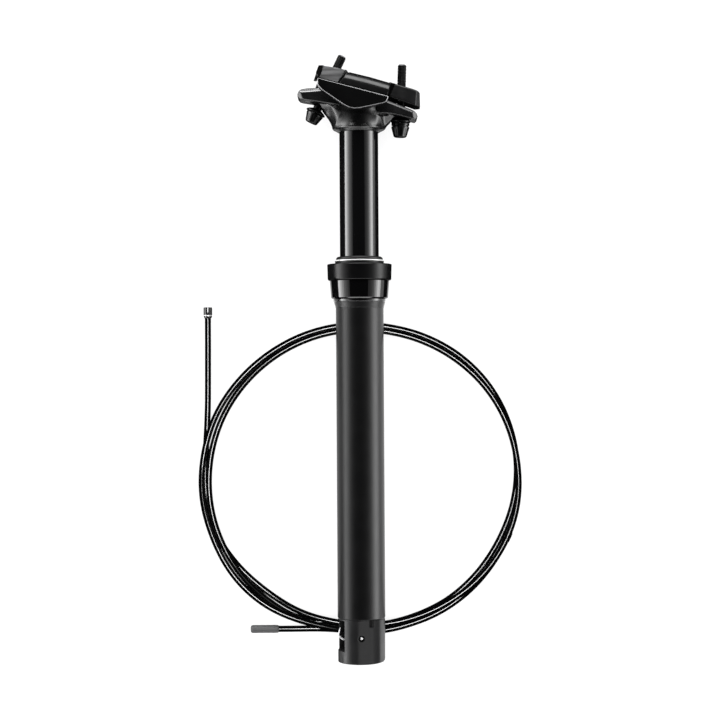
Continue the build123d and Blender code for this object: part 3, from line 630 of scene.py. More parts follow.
# ---- the head forging: neck, web, ear bands, the block under the cradle
NECK_Y = np.array([148.0, 149.9, 150.5, 151.4, 152.1, 152.8, 153.6, 154.8, 157.0, 160.0, 163.0, 168.0])
NECK_R = np.array([12.9, 13.5, 14.2, 15.5, 16.15, 16.2, 15.9, 15.55, 15.1, 14.5, 13.9, 13.0])
WEB = [(-37.2, 171.6), (-35.4, 170.7), (-32.4, 169.7), (-29.4, 168.2), (-26.6, 166.5), (-24.2, 164.4), (-22.0, 161.6),
       (-20.1, 158.9), (-18.6, 156.4), (-17.2, 154.2), (-16.1, 152.6), (-8.0, 153.2), (8.0, 153.2), (16.1, 152.6), (17.3, 153.2),
       (19.9, 155.3), (22.3, 157.3), (23.9, 158.7), (26.4, 158.6), (30.0, 158.0), (34.0, 157.6), (30.0, 162.6), (20.0, 165.0),
       (0.0, 168.0), (-20.0, 173.0)]
BAND_L = [(-38.9, 171.3), (-40.1, 172.7), (-40.2, 174.6), (-39.2, 176.5), (-37.3, 177.7), (-34.0, 178.2),
          (-26.5, 178.6), (-18.0, 178.8), (-12.0, 172.0), (-12.0, 166.6), (-17.6, 167.7), (-28.0, 169.4), (-37.2, 170.9)]
BAND_R = [(12.0, 161.6), (12.0, 171.0), (18.6, 170.3), (28.0, 166.5), (34.4, 164.0), (36.9, 162.7), (38.4, 161.1),
          (38.9, 159.4), (38.4, 158.0), (37.2, 157.2), (33.0, 158.3), (22.2, 161.0)]
SEAT = [(-20.4, 177.7), (-20.0, 174.6), (-12.0, 167.0), (-6.0, 161.0), (6.0, 161.0), (11.0, 163.5), (15.0, 166.5), (15.4, 169.2)]


def forging_sdf(x, y, z):
    w = z - AXIS_Z
    r = np.sqrt(x * x + w * w)
    neck = (r - np.interp(y, NECK_Y, NECK_R)) * 0.93
    neck = smax(neck, np.maximum(149.9 - y, y - 168.0), 0.4)
    # web: thick at the neck, thinner toward the ears, its edge full and round
    web2 = poly_sdf(x, y, WEB)
    half = np.interp(np.abs(x), [0.0, 5.0, 9.0, 24.0, 30.0, 40.0], [13.2, 13.0, 12.3, 9.0, 8.2, 8.0])
    deep = np.clip(-web2, -6.0, 18.0)
    full = (np.sqrt(((18.0 - deep) / 18.0) ** 2 + (w / 14.0) ** 2) - 1.0) * 14.0
    slope = (np.abs(w) - 3.2 - 0.56 * deep) * 0.87
    t = np.clip(np.where(x < 0, (-x - 13.5) / 12.0, (x - 11.0) / 7.0), 0.0, 1.0)
    t = t * t * (3.0 - 2.0 * t)
    edge = full * (1.0 - t) + slope * t
    web = smax(np.maximum(web2, np.abs(w) - half), edge, 1.4)
    body = smin(neck, web, 4.5)
    seat = rmax(poly_sdf(x, y, SEAT), np.abs(w) - 8.6, 2.0)
    body = smin(body, seat, 2.5)
    # bands: a broad bevel along the top and one at each tip
    c = np.abs(w) - 10.5
    bl = rmax(poly_sdf(x, y, BAND_L), c, 1.1)
    bl = smax(bl, -0.04 * (x + 28.0) + 0.62 * (y - 176.0) + 0.785 * c, 0.35)
    bl = smax(bl, -0.62 * (x + 37.4) - 0.2 * (y - 174.0) + 0.76 * c, 0.5)
    br = rmax(poly_sdf(x, y, BAND_R), c, 1.1)
    br = smax(br, 0.23 * (x - 27.4) + 0.577 * (y - 165.0) + 0.785 * c, 0.35)
    br = smax(br, 0.62 * (x - 35.4) + 0.1 * (y - 161.0) + 0.78 * c, 0.5)
    # the bands joined onto the body with a small soft joint
    body = smin(body, np.minimum(bl, br), 0.5)
    # cuts
    cradle = 22.0 - np.sqrt(x * x + (y - 186.0) ** 2)
    body = smax(body, cradle, 0.5)
    body = np.maximum(body, -np.maximum(r - 12.9, y - 158.0))
    for s, d in ((REAR_SEAT, REAR_DIR), (FRONT_SEAT, FRONT_DIR)):
        c = s - d * WASHER_BALL
        hole = rod_sdf(x, y, z, s, d, 4.1, -5.0, 30.0)
        ball = np.sqrt((x - c[0]) ** 2 + (y - c[1]) ** 2 + (z - c[2]) ** 2) - (WASHER_BALL + 0.05)
        pocket = np.maximum(rod_sdf(x, y, z, s, d, 7.3, -16.0, 2.0), ball)
        pocket = np.minimum(pocket, rod_sdf(x, y, z, s, d, 7.3, -16.0, -2.6))
        body = smax(body, -np.minimum(hole, pocket), 0.35)
    return body


head = solid("head_forging_body", forging_sdf, (-42.0, 148.6, 9.6), (40.5, 180.4, 44.4), 0.4, [M["head"]], "stanchion",
             ["head_forging"], angle=60)


# ---- the upper clamp, in its own frame: u along the rails, v square to them
def clamp_frame(V):
    out = np.empty_like(V)
    out[:, 0] = -3.5 + V[:, 0] * CT - V[:, 1] * ST
    out[:, 1] = 176.3 + V[:, 0] * ST + V[:, 1] * CT
    out[:, 2] = V[:, 2]
    return out


def to_uv(p):
    dx, dy = p[0] + 3.5, p[1] - 176.3
    return np.array([dx * CT + dy * ST, -dx * ST + dy * CT, p[2]])


def dir_uv(d):
    return np.array([d[0] * CT + d[1] * ST, -d[0] * ST + d[1] * CT, d[2]])


WING = [(-26.3, -1.5), (-24.4, -1.5), (-23.8, 0.25), (22.9, 0.25), (22.5, 9.3), (9.0, 9.75), (-6.0, 9.5), (-25.3, 8.4)]
BEAM = [(-24.0, 0.5), (18.4, 0.5), (20.0, 1.7), (25.0, 2.2), (26.4, 1.9), (38.0, 1.1), (41.8, 0.7), (45.4, 1.1), (44.1, 5.6), (42.9, 9.9),
        (41.8, 10.6), (37.4, 11.1), (32.2, 11.2), (22.0, 11.6), (19.6, 8.4), (-22.4, 8.2)]
R_NUT, F_NUT = to_uv(REAR_NUT), to_uv(FRONT_NUT)
R_DIR, F_DIR = dir_uv(REAR_DIR), dir_uv(FRONT_DIR)


def clamp_sdf(u, v, z):
    d = np.abs(z - AXIS_Z)
    w2 = poly_sdf(u, v, WING)
    wing = rmax(w2, np.maximum(d - 27.0, 17.0 - d), 0.45)
    # the middle of the wing's top edge is turned over a large round
    big = np.maximum(v - np.interp(u, [-6.0, 9.0, 22.9], [9.5, 9.75, 9.3]), 0 * v - 99)
    round_edge = rmax(big, d - 27.0, 7.4)
    mid = np.clip((u + 7.2 - (v - 6.0) * 0.43) / 0.5, 0.0, 1.0)
    wing = np.maximum(wing, round_edge * mid + (1 - mid) * np.maximum(big, d - 27.0))
    # the face of the middle leans back toward its foot
    lean = (d - 27.0 + (6.4 - v) * 0.075 * mid)
    wing = smax(wing, np.where(v < 6.4, lean, d - 27.0) * 0.99, 0.3)
    # brushed panel, sunk a little
    panel = np.maximum(np.abs(u + 15.6 - (v - 5.0) * 0.16) - (6.6 + (v - 5.0) * 0.14), np.abs(v - 4.85) - 4.9)
    wing = smax(wing, -np.maximum(panel, 26.55 - d), 0.12)
    # slanting cut between the panel and the middle
    gr = np.abs((u + 7.15) - (v - 6.0) * 0.47) * 0.905 - 0.62
    wing = smax(wing, -np.maximum(gr, np.minimum(26.1 - d, 8.9 - v)), 0.25)
    # the end is cut back
    cut = (d - 27.0) * 0.62 + (-22.5 - u + 0.04 * (v - 4.5)) * 0.78
    wing = smax(wing, cut, 0.15)
    web = rmax(np.maximum(np.maximum(-14.0 - u, u - 17.0), np.maximum(1.6 - v, v - 7.9)), d - 18.0, 0.6)
    beam2 = poly_sdf(u, v, BEAM)
    beam = rmax(beam2, d - 10.0, 1.0)
    side = (d - 10.0) * 0.55 + (u - 41.4 + (v - 5.0) * 0.18) * 0.83
    beam = smax(beam, side, 0.5)
    body = smin(np.minimum(wing, web), beam, 0.8)
    # rail grooves, nut seats, bolt holes
    rail = np.sqrt(v * v + (d - 22.0) ** 2) - 3.5
    body = smax(body, -rail, 0.15)
    for n, dr in ((R_NUT, R_DIR), (F_NUT, F_DIR)):
        nut = np.maximum(np.sqrt((u - n[0]) ** 2 + (v - n[1]) ** 2) - 4.3, d - 8.2)
        slot = np.maximum(np.maximum(np.abs(u - n[0]) - 4.3, n[1] - v), d - 8.2)
        hole = rod_sdf(u, v, z, n, dr, 4.1, -22.0, 16.0)
        body = smax(body, -np.minimum(np.minimum(nut, slot), hole), 0.3)
    return body


def clamp_paint(C, N):
    u, v, z = C[:, 0], C[:, 1], C[:, 2]
    d = np.abs(z - AXIS_Z)
    idx = np.zeros(len(C), np.int32)
    panel = (np.abs(u + 15.6 - (v - 5.0) * 0.16) < 6.45 + (v - 5.0) * 0.14) & (d > 26.3) & (v > 0.3)
    idx[panel] = 1
    # painted shade: the cut-back end takes the black, almost unreflecting material (index 2) in place of the shade it
    # shows
    end = ((d - 27.0) * 0.62 + (-22.5 - u + 0.04 * (v - 4.5)) * 0.78 > -0.25) & (d > 17.0)
    idx[end] = 2
    block = (u > 23.2) & (d < 11.0)
    idx[block] = 3
    # painted shade: the strip between the middle and the block takes the same black, standing in for the shadow in the
    # gap
    gap = (u > 22.9) & (u < 25.4 - 0.16 * (9.0 - v)) & (d < 11.0)
    idx[gap] = 2
    return idx


clamp = solid("upper_clamp_body", clamp_sdf, (-27.2, -2.6, -0.8), (46.6, 12.8, 54.8), 0.36,
              [M["clamp"], M["brushed"], M["end_shade"], M["block"]], "clamp", ["upper_clamp"], paint=clamp_paint,
              frame_of=clamp_frame, angle=42)


# ---- the lower cradle: two boat-shaped plates with a thin bright chamfer, and a round-bottomed middle
BOAT = [(-23.5, -0.25), (-23.55, -1.6), (-22.6, -4.7), (-19.2, -7.0), (-3.4, -12.6), (0.8, -13.6), (4.1, -13.5), (7.7, -12.3),
        (16.4, -8.0), (22.0, -5.2), (23.3, -4.1), (23.95, -1.6), (23.6, -0.25)]


def offset_outline(pts, d):
    """The outline moved inward by d."""
    p = np.asarray(pts, float)
    a = p - np.roll(p, 1, 0)
    b = np.roll(p, -1, 0) - p
    na = np.stack([-a[:, 1], a[:, 0]], 1) / np.maximum(np.linalg.norm(a, axis=1), 1e-9)[:, None]
    nb = np.stack([-b[:, 1], b[:, 0]], 1) / np.maximum(np.linalg.norm(b, axis=1), 1e-9)[:, None]
    m = na + nb
    m /= np.maximum(np.linalg.norm(m, axis=1), 1e-9)[:, None]
    c = np.maximum((m * nb).sum(1), 0.5)
    return p + m * (d / c)[:, None]


def prism(name, outline, levels, mats, idx_of, frame_of=clamp_frame):
    """Stacked outlines: levels are (z, inset)."""
    n = len(outline)
    area = sum(outline[i][0] * outline[(i + 1) % n][1] - outline[(i + 1) % n][0] * outline[i][1] for i in range(n))
    if area < 0:
        outline = outline[::-1]
    V, F, I = [], [], []
    for z, inset in levels:
        p = offset_outline(outline, inset) if inset else np.asarray(outline, float)
        V.append(np.column_stack([p, np.full(n, z)]))
    for i in range(len(levels) - 1):
        for k in range(n):
            q = (k + 1) % n
            F.append((i * n + k, i * n + q, (i + 1) * n + q, (i + 1) * n + k))
            I.append(idx_of(i))
    F.append(tuple(range(n))[::-1])
    I.append(idx_of(-1))
    F.append(tuple((len(levels) - 1) * n + k for k in range(n)))
    I.append(idx_of(len(levels) - 1))
    V = frame_of(np.concatenate(V))
    me = bpy.data.meshes.new(name)
    me.from_pydata((V * MM).tolist(), [], [list(map(int, f)) for f in F])
    for m in mats:
        me.materials.append(m)
    me.polygons.foreach_set("material_index", np.asarray(I, np.int32))
    me.update()
    o = bpy.data.objects.new(name, me)
    bpy.context.collection.objects.link(o)
    return o


def boolean(target, tool, how):
    mod = target.modifiers.new("cut", "BOOLEAN")
    mod.operation = how
    mod.object = tool
    mod.solver = "EXACT"
    dg = bpy.context.evaluated_depsgraph_get()
    me = bpy.data.meshes.new_from_object(target.evaluated_get(dg))
    target.modifiers.clear()
    old = target.data
    target.data = me
    bpy.data.meshes.remove(old)
    bpy.data.objects.remove(tool)


def tool_rod(a, b, r, segs=96):
    a, b = Vector(a), Vector(b)
    d = (b - a).normalized()
    x = d.orthogonal().normalized()
    y = d.cross(x)
    V, F = [], []
    for p in (a, b):
        for k in range(segs):
            t = 2 * math.pi * k / segs
            V.append(tuple((p + x * (r * math.cos(t)) + y * (r * math.sin(t))) * MM))
    for k in range(segs):
        q = (k + 1) % segs
        F.append((k, q, segs + q, segs + k))
    F.append(tuple(range(segs))[::-1])
    F.append(tuple(segs + k for k in range(segs)))
    me = bpy.data.meshes.new("tool")
    me.from_pydata(V, [], F)
    o = bpy.data.objects.new("tool", me)
    bpy.context.collection.objects.link(o)
    return o


def uv3(u, v, z):
    return tuple(clamp_frame(np.array([[u, v, z]], float))[0])


boat = rounded(BOAT, [0.25, 0.4, 1.6, 3.0, 4.0, 3.5, 3.0, 5.0, 4.0, 2.4, 1.0, 0.6, 0.25], 4, closed=True)
C_IN, C_DEEP = 0.45, 0.35
edge_of = lambda i: 1 if i in (0, 3) else 0
near = prism("lower_cradle_body", boat, [(44.0, 0.3), (44.25, 0.0), (54.0 - C_DEEP, 0.0), (54.0, C_IN)], [M["cradle"], M["edge"]],
             lambda i: 1 if i == 2 else 0)
far = prism("far_plate", boat, [(0.0, C_IN), (C_DEEP, 0.0), (9.75, 0.0), (10.0, 0.3)], [M["cradle"], M["edge"]],
            lambda i: 1 if i == 0 else 0)
arc = []
cu, cv = to_uv(np.array([0.0, 186.0, 0.0]))[:2]
R_C = 21.95
for k in range(41):
    a = math.radians(200 + k * 3.5)
    p = (cu + R_C * math.cos(a), cv + R_C * math.sin(a))
    if p[1] < -1.2 and -11.5 < p[0] < 20.0:
        arc.append(p)
arc = [(arc[0][0], -1.2)] + arc + [(arc[-1][0], -1.2)]
middle = prism("middle", arc, [(9.0, 0.0), (9.01, 0.0), (44.99, 0.0), (45.0, 0.0)], [M["cradle"]], lambda i: 0)
boolean(near, far, "UNION")
boolean(near, middle, "UNION")
for rz in (5.0, 49.0):
    boolean(near, tool_rod(uv3(-40, 0, rz), uv3(40, 0, rz), 3.5), "DIFFERENCE")
near.data.polygons.foreach_set("use_smooth", [True] * len(near.data.polygons))
sharp_by_angle(near.data, 24)
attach(near, "clamp")
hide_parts("lower_cradle")
print("cradle faces", len(near.data.polygons))


# ---- bolts with a cut thread, a coned head with flutes, round-faced washers and the barrel nuts
def bolt(name, seat, direction, length, low, profile, body, replaces, mats):
    o, d = Vector(seat), Vector(direction).normalized()
    x = Vector((0, 0, 1))
    y = d.cross(x)
    segs = 72
    V, F, I = [], [], []

    def ringv(t, radii):
        base = len(V)
        for k in range(segs):
            a = 2 * math.pi * k / segs
            r = radii if not hasattr(radii, "__len__") else radii[k]
            V.append(tuple(o + d * t + x * (r * math.cos(a)) + y * (r * math.sin(a))))
        return base

    ks = np.arange(segs)
    th = 2 * math.pi * ks / segs
    rings, mat = [], []
    # socket in the head's end: a hexagon
    hexr = 2.5 * math.cos(math.pi / 6) / np.cos((th + math.pi / 6) % (math.pi / 3) - math.pi / 6)
    rings.append(ringv(low + 2.4, 0.02)); mat.append(0)
    rings.append(ringv(low + 2.4, hexr)); mat.append(0)
    rings.append(ringv(low + 0.25, hexr)); mat.append(0)
    rings.append(ringv(low, hexr + 0.25)); mat.append(0)
    for t, r, flute in profile:
        rr = r - flute * np.maximum(0.0, np.cos(th * 10)) ** 1.5
        rings.append(ringv(t, rr)); mat.append(0)
    rings.append(ringv(-3.2, 3.0)); mat.append(0)
    rings.append(ringv(3.0, 3.0)); mat.append(0)
    pitch, depth = 1.0, 0.42
    t = 3.4
    # the thread's turns take the thread material, painted shade in the grooves
    while t < length - 1.0:
        ph = ((t / pitch) - th / (2 * math.pi)) % 1.0
        prof = np.clip(np.abs(ph - 0.5) * 2.0 * 1.25 - 0.12, 0.0, 1.0)
        ramp = min(1.0, (t - 3.2) / 0.8)
        rings.append(ringv(t, 3.0 - depth * ramp * (1 - prof))); mat.append(2)
        t += pitch / 10
    rings.append(ringv(length - 0.75, 2.72)); mat.append(1)
    rings.append(ringv(length - 0.1, 2.15)); mat.append(1)
    rings.append(ringv(length, 1.9)); mat.append(0)
    rings.append(ringv(length - 0.5, 1.3)); mat.append(0)
    rings.append(ringv(length - 0.7, 0.02)); mat.append(0)
    for i in range(len(rings) - 1):
        for k in range(segs):
            q = (k + 1) % segs
            F.append((rings[i] + k, rings[i] + q, rings[i + 1] + q, rings[i + 1] + k))
            I.append(mat[i])
    F.append(tuple(rings[0] + k for k in range(segs))[::-1])
    I.append(0)
    F.append(tuple(rings[-1] + k for k in range(segs)))
    I.append(0)
    return put(name, V, F, mats, body, replaces, mat_index=I, angle=38)


bolt("rear_bolt_threaded", REAR_SEAT, REAR_DIR, 38.9, -10.2,
     [(-10.2, 3.5, 0.0), (-10.0, 3.85, 0.0), (-9.7, 4.1, 0.05), (-9.2, 4.3, 0.28), (-5.2, 5.45, 0.3), (-4.6, 5.7, 0.05),
      (-4.2, 5.8, 0.0), (-3.7, 5.65, 0.0), (-3.3, 5.2, 0.0), (-3.2, 4.6, 0.0)], "rear_bolt_set", ["rear_bolt"], [M["bolt"], M["edge"], M["thread"]])
bolt("front_bolt_threaded", FRONT_SEAT, FRONT_DIR, 35.3, -13.0,
     [(-13.0, 3.6, 0.0), (-12.8, 4.0, 0.0), (-12.5, 4.25, 0.05), (-12.0, 4.45, 0.28), (-7.6, 5.7, 0.3), (-7.1, 5.9, 0.05),
      (-6.8, 6.0, 0.0), (-6.2, 5.9, 0.0), (-6.0, 5.45, 0.0), (-5.4, 5.4, 0.0), (-5.2, 5.95, 0.0), (-4.0, 6.0, 0.0),
      (-3.4, 5.7, 0.0), (-3.2, 5.1, 0.0)], "front_bolt_set", ["front_bolt"], [M["bolt"], M["edge"], M["thread"]])


def washer(name, seat, direction, body, replaces):
    st = [(-3.2, 3.25), (-3.2, 6.2)]
    for k in range(9):
        r = 6.7 - (6.7 - 3.25) * k / 8
        t = -10.5 + math.sqrt(10.5 ** 2 - r * r)
        st.append((t, r))
    st = [(-3.2, 3.25), (-3.2, 6.3), (-3.0, 6.6), (-2.6, 6.68)] + st[3:]
    # closed ring
    o, d = Vector(seat), Vector(direction).normalized()
    x = Vector((0, 0, 1))
    y = d.cross(x)
    segs, V, F = 72, [], []
    for t, r in st:
        for k in range(segs):
            a = 2 * math.pi * k / segs
            V.append(tuple(o + d * t + x * (r * math.cos(a)) + y * (r * math.sin(a))))
    n = len(st)
    for i in range(n):
        j = (i + 1) % n
        for k in range(segs):
            q = (k + 1) % segs
            F.append((i * segs + k, i * segs + q, j * segs + q, j * segs + k))
    return put(name, V, F, [M["bolt"]], body, replaces, angle=35)


washer("rear_ball_washer", REAR_SEAT, REAR_DIR, "rear_bolt_set", ["rear_washer"])
washer("front_ball_washer", FRONT_SEAT, FRONT_DIR, "front_bolt_set", ["front_washer"])


def barrel_nut(name, c, d, body, replaces):
    a = np.array(c) + np.array([0, 0, -7.8])
    st = [(0.0, 0.05), (0.0, 3.7), (0.15, 4.0), (0.45, 4.2), (15.15, 4.2), (15.45, 4.0), (15.6, 3.7), (15.6, 0.05)]
    o = along(name, st, a, (0, 0, 1), [M["steel"]], body, replaces, segs=64, angle=30)
    p = Vector(c)
    dd = Vector(d)
    boolean(o, tool_rod(p - dd * 8, p + dd * 8, 3.26, 48), "DIFFERENCE")
    o.data.polygons.foreach_set("use_smooth", [True] * len(o.data.polygons))
    sharp_by_angle(o.data, 30)
    return o


barrel_nut("rear_barrel_nut", REAR_NUT, REAR_DIR, "rear_nut_body", ["rear_nut"])
barrel_nut("front_barrel_nut", FRONT_NUT, FRONT_DIR, "front_nut_body", ["front_nut"])


# ---- the actuator at the foot: a body with soft flats, a slot, a port and a notch
PIVOT_Y = -183.3
FOOT_OUT = [(-16.2, -170.9), (-16.2, -199.9), (-15.5, -200.5), (4.0, -200.5), (14.2, -200.1), (15.4, -199.4), (16.2, -198.4),
            (16.2, -170.9)]


def actuator_sdf(x, y, z):
    w = z - AXIS_Z
    r = np.sqrt(x * x + w * w)
    # the round body, with a shallow flat toward +Z and soft corners beside it
    body = r - np.interp(y, [-201.0, -190.0, -176.0, -171.9, -171.2], [15.62, 15.62, 15.6, 15.6, 15.22])
    flat = w * math.cos(math.radians(9)) + x * math.sin(math.radians(9)) - 15.28
    body = smax(body, flat, 0.6)
    body = smax(body, x * math.cos(math.radians(26)) + w * math.sin(math.radians(26)) - 15.42, 0.5)
    body = smax(body, x * math.cos(math.radians(206)) + w * math.sin(math.radians(206)) - 15.5, 0.5)
    end = poly_sdf(x, y, FOOT_OUT)
    body = smax(body, np.where(y < -180.0, end, -50.0), 0.7)
    body = smax(body, y + 171.22, 0.12)
    # slot open toward -X, with a floor and a roof, and the hollow for the pin's foot
    slot = rmax(np.maximum(w - 10.7, -3.9 - w), np.maximum(np.maximum(-192.6 - y, y + 172.4), x - 7.0), 0.8)
    hollow = np.maximum(r - 6.0, -179.2 - y)
    # bores for the pivot, its recess, the screw and the housing
    piv = np.maximum(np.sqrt(x * x + (y - PIVOT_Y) ** 2) - 1.55, np.maximum(15.2 - z, -100.0))
    rec = np.maximum(np.sqrt(x * x + (y - PIVOT_Y) ** 2) - 1.95, 41.2 - z)
    cone = (np.sqrt(x * x + (y - PIVOT_Y) ** 2) - 2.1 - (z - 42.3) * 0.9) * 0.75
    notch = rmax(np.abs(x - 6.6) - 1.4, np.maximum(np.abs(y + 173.5) - 2.5, 13.1 - w), 0.3)
    end_hole = np.maximum(r - 5.05, y + 197.85)
    end_hole2 = np.maximum(r - 2.55, y + 194.4)
    port = rod_sdf(x, y, z, PORT_A, PORT_D, 2.62, -0.01, 27.0)
    cuts = np.minimum(np.minimum(slot, hollow), np.minimum(piv, np.minimum(rec, cone)))
    cuts = np.minimum(cuts, np.minimum(notch, np.minimum(np.minimum(end_hole, end_hole2), port)))
    return smax(body, -cuts, 0.3)


PORT_A = np.array([8.4, -184.0, 14.6])
PORT_D = np.array([-14.0, -0.3, -4.9])
PORT_D = PORT_D / np.linalg.norm(PORT_D)


def actuator_paint(C, N):
    x, y, w = C[:, 0], C[:, 1], C[:, 2] - AXIS_Z
    r = np.sqrt(x * x + w * w)
    # painted shade: the slot's inside and the port's tunnel, a ring round the pin's end, a strip beside the slot's foot
    # and the notch's walls take the dark shade material
    shade_paint_mask = (r < 14.9) & (y > -195.0) & (y < -171.6)
    shade_paint_mask |= (np.hypot(x, y - PIVOT_Y) < 2.0) & (w > 12.0)
    shade_paint_mask |= (x < -14.0) & (w > -4.0) & (w < 7.6) & (y < -192.3)
    shade_paint_mask |= (np.abs(x - 6.6) < 1.6) & (y > -176.2) & (w > 12.5) & (N[:, 2] < 0.6)
    return shade_paint_mask.astype(np.int32)


actuator = solid("actuator_body", actuator_sdf, (-16.4, -201.2, 10.6), (16.4, -170.6, 43.4), 0.36, [M["actuator"], M["shade"]],
                 "post_outer", ["actuator_housing"], paint=actuator_paint, angle=45)

# the pivot pin: plain shank, small domed end painted pale as a highlight, inside a recess painted dark as shade
st = [(0.0, 0.05), (0.0, 1.3), (0.2, 1.5), (25.2, 1.5), (25.5, 1.35), (25.5, 0.95), (26.4, 0.9), (26.6, 0.8), (26.75, 0.5),
      (26.8, 0.05)]
along("pivot_pin_domed", st, (0.0, PIVOT_Y, 15.2), (0, 0, 1), [M["steel"], M["pin_end"]], "post_outer", ["lever_pivot_pin"],
      segs=48, mat_of=lambda i: 1 if i >= 4 else 0, angle=40)


# the lever: hub on the pin, nose under the release pin's foot, and a bent fork in the slot
def lever_sdf(x, y, z):
    w = z - AXIS_Z
    yy = y - PIVOT_Y
    hub = np.sqrt(x * x + yy * yy) - 3.6
    arm = poly_sdf(x, yy, [(0.0, -2.4), (0.0, 2.6), (-7.0, 2.7), (-10.4, 2.4), (-13.2, 4.7), (-14.5, 4.9), (-15.2, 2.6),
                           (-15.55, 0.5), (-14.6, -1.2), (-12.2, -2.9), (-10.9, -2.7), (-8.6, -1.5)])
    nose = np.minimum(np.sqrt((x + 4.6) ** 2 + (yy - 4.2) ** 2) - 1.0, np.maximum(np.abs(x + 4.6) - 1.0, np.abs(yy - 2.7) - 1.5))
    body = smin(smin(hub, arm, 1.2), nose, 0.8)
    body = rmax(body, np.abs(w) - 3.2, 0.45)
    # fork: open toward the +X side between two leaves, and a notch across for the wire's end
    gap = np.maximum(poly_sdf(x, yy, [(-14.9, 0.5), (-13.75, 5.6), (-10.3, 5.6), (-10.3, -1.3), (-11.4, -2.1)]), np.abs(w) - 9.0)
    body = smax(body, -gap, 0.12)
    body = smax(body, -(np.sqrt(x * x + yy * yy) - 1.56), 0.15)
    return body


lever = solid("lever_bent_fork", lever_sdf, (-16.0, -187.0, 23.2), (4.2, -177.4, 30.8), 0.24, [M["silver"]], "lever",
              ["actuator_lever"], angle=40)

along("wire_end_barrel", [(0.0, 0.05), (0.0, 1.1), (0.15, 1.3), (5.05, 1.3), (5.2, 1.1), (5.2, 0.05)], (-12.9, PIVOT_Y + 1.1, 24.4), (0, 0, 1),
      [M["shade"]], "lever", ["wire_barrel"], segs=36, angle=35)


# the return spring, the model's coil in a mesh of its own; in the post it shortens toward the tube's end as the pin
# rises
coil_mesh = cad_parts["return_spring"].data
spring = put("return_spring_coil", [tuple(c / MM for c in v.co) for v in coil_mesh.vertices],
             [tuple(q.vertices) for q in coil_mesh.polygons], [M["steel"]], "post_outer", ["return_spring"], angle=40)
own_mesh(spring)


# ------------------------------------------------------------------ floor and light
def plane(name, size, z, mat):
    me = bpy.data.meshes.new(name)
    s = size / 2
    me.from_pydata([(-s, -s, z), (s, -s, z), (s, s, z), (-s, s, z)], [], [(0, 1, 2, 3)])
    me.materials.append(mat)
    o = bpy.data.objects.new(name, me)
    bpy.context.collection.objects.link(o)
    return o


floor_mat = material("floor_pale", (0.88, 0.88, 0.88), 0.9, specular=0.0, vary=0.01, vary_scale=3.0)
floor = plane("floor", 1.8, -0.0001, floor_mat)
floor.visible_glossy = False
floor.visible_shadow = False

# light groups: one list leaves out the floor, one holds the floor alone, one the cords
not_floor = bpy.data.collections.new("lit_without_floor")
for o in (floor, long_housing, short_housing):
    not_floor.objects.link(o)
for c in not_floor.collection_objects:
    c.light_linking.link_state = "EXCLUDE"
only_gloss = bpy.data.collections.new("lit_gloss")
for name in ("gloss_ring_shell", "lower_lip_rings"):
    only_gloss.objects.link(bpy.data.objects[name])
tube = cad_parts["outer_tube"]
general = bpy.data.collections.new("lit_general")
for o in (floor, long_housing, short_housing, tube, actuator):
    general.objects.link(o)
for c in general.collection_objects:
    c.light_linking.link_state = "EXCLUDE"
only_tube = bpy.data.collections.new("lit_tube")
only_tube.objects.link(tube)
rims = bpy.data.collections.new("lit_rims")
for o in (tube, actuator, bpy.data.objects["lower_lip_rings"]):
    rims.objects.link(o)
only_head = bpy.data.collections.new("lit_head")
only_head.objects.link(head)
only_foot = bpy.data.collections.new("lit_foot")
only_foot.objects.link(actuator)
only_floor = bpy.data.collections.new("lit_floor")
only_floor.objects.link(floor)
only_cords = bpy.data.collections.new("lit_cords")
for o in CORD_PIECES:
    only_cords.objects.link(o)


def softbox(name, location, target, size_x, size_y, radiance, receivers=None, shape="RECTANGLE"):
    li = bpy.data.lights.new(name, "AREA")
    li.shape = shape
    li.size = size_x
    li.size_y = size_y
    area = size_x * size_y * (math.pi / 4 if shape in ("DISK", "ELLIPSE") else 1.0)
    li.energy = radiance * math.pi * area
    o = bpy.data.objects.new(name, li)
    o.location = location
    d = Vector(target) - Vector(location)
    o.rotation_euler = d.to_track_quat("-Z", "Y").to_euler()
    bpy.context.collection.objects.link(o)
    if receivers is not None:
        o.light_linking.receiver_collection = receivers
    return o


def side_strips(side, bands, dist=1.3, length=2.6, y=0.0, receivers=None, name=""):
    """Long strips beside the post, each at its own height and strength: bands are (low angle, high angle, radiance)."""
    for i, (a0, a1, rad) in enumerate(bands):
        a0, a1 = math.radians(a0), math.radians(a1)
        p0 = Vector((side * dist * math.cos(a0), 0, dist * math.sin(a0)))
        p1 = Vector((side * dist * math.cos(a1), 0, dist * math.sin(a1)))
        mid = (p0 + p1) / 2 + Vector((0, y, 0.027))
        h = (p1 - p0).length
        li = softbox("%s%s_strip_%d" % (name, "left" if side < 0 else "right", i), mid, (0, y, 0.027), h, length, rad,
                     receivers or general)
        # the strip's short side stands up, its long side runs along the post
        n = (Vector((0, y, 0.027)) - mid).normalized()
        yv = Vector((0, 1, 0))
        xv = yv.cross(-n).normalized()
        from mathutils import Matrix
        li.rotation_euler = Matrix((xv, yv, -n)).transposed().to_euler()


L, R = 8.5, 8.0
side_strips(-1, [(-2, 10, L), (10, 18, L * 0.7), (18, 26, L * 0.42), (26, 34, L * 0.2), (34, 42, L * 0.12), (42, 50, L * 0.06)])
side_strips(1, [(-20, -9, R * 0.12), (-9, 0, R * 0.16), (0, 8, R * 0.8), (8, 16, R), (16, 24, R * 0.62), (24, 31, R * 0.3),
                (31, 38, R * 0.13), (38, 46, R * 0.07), (46, 56, R * 0.04)])
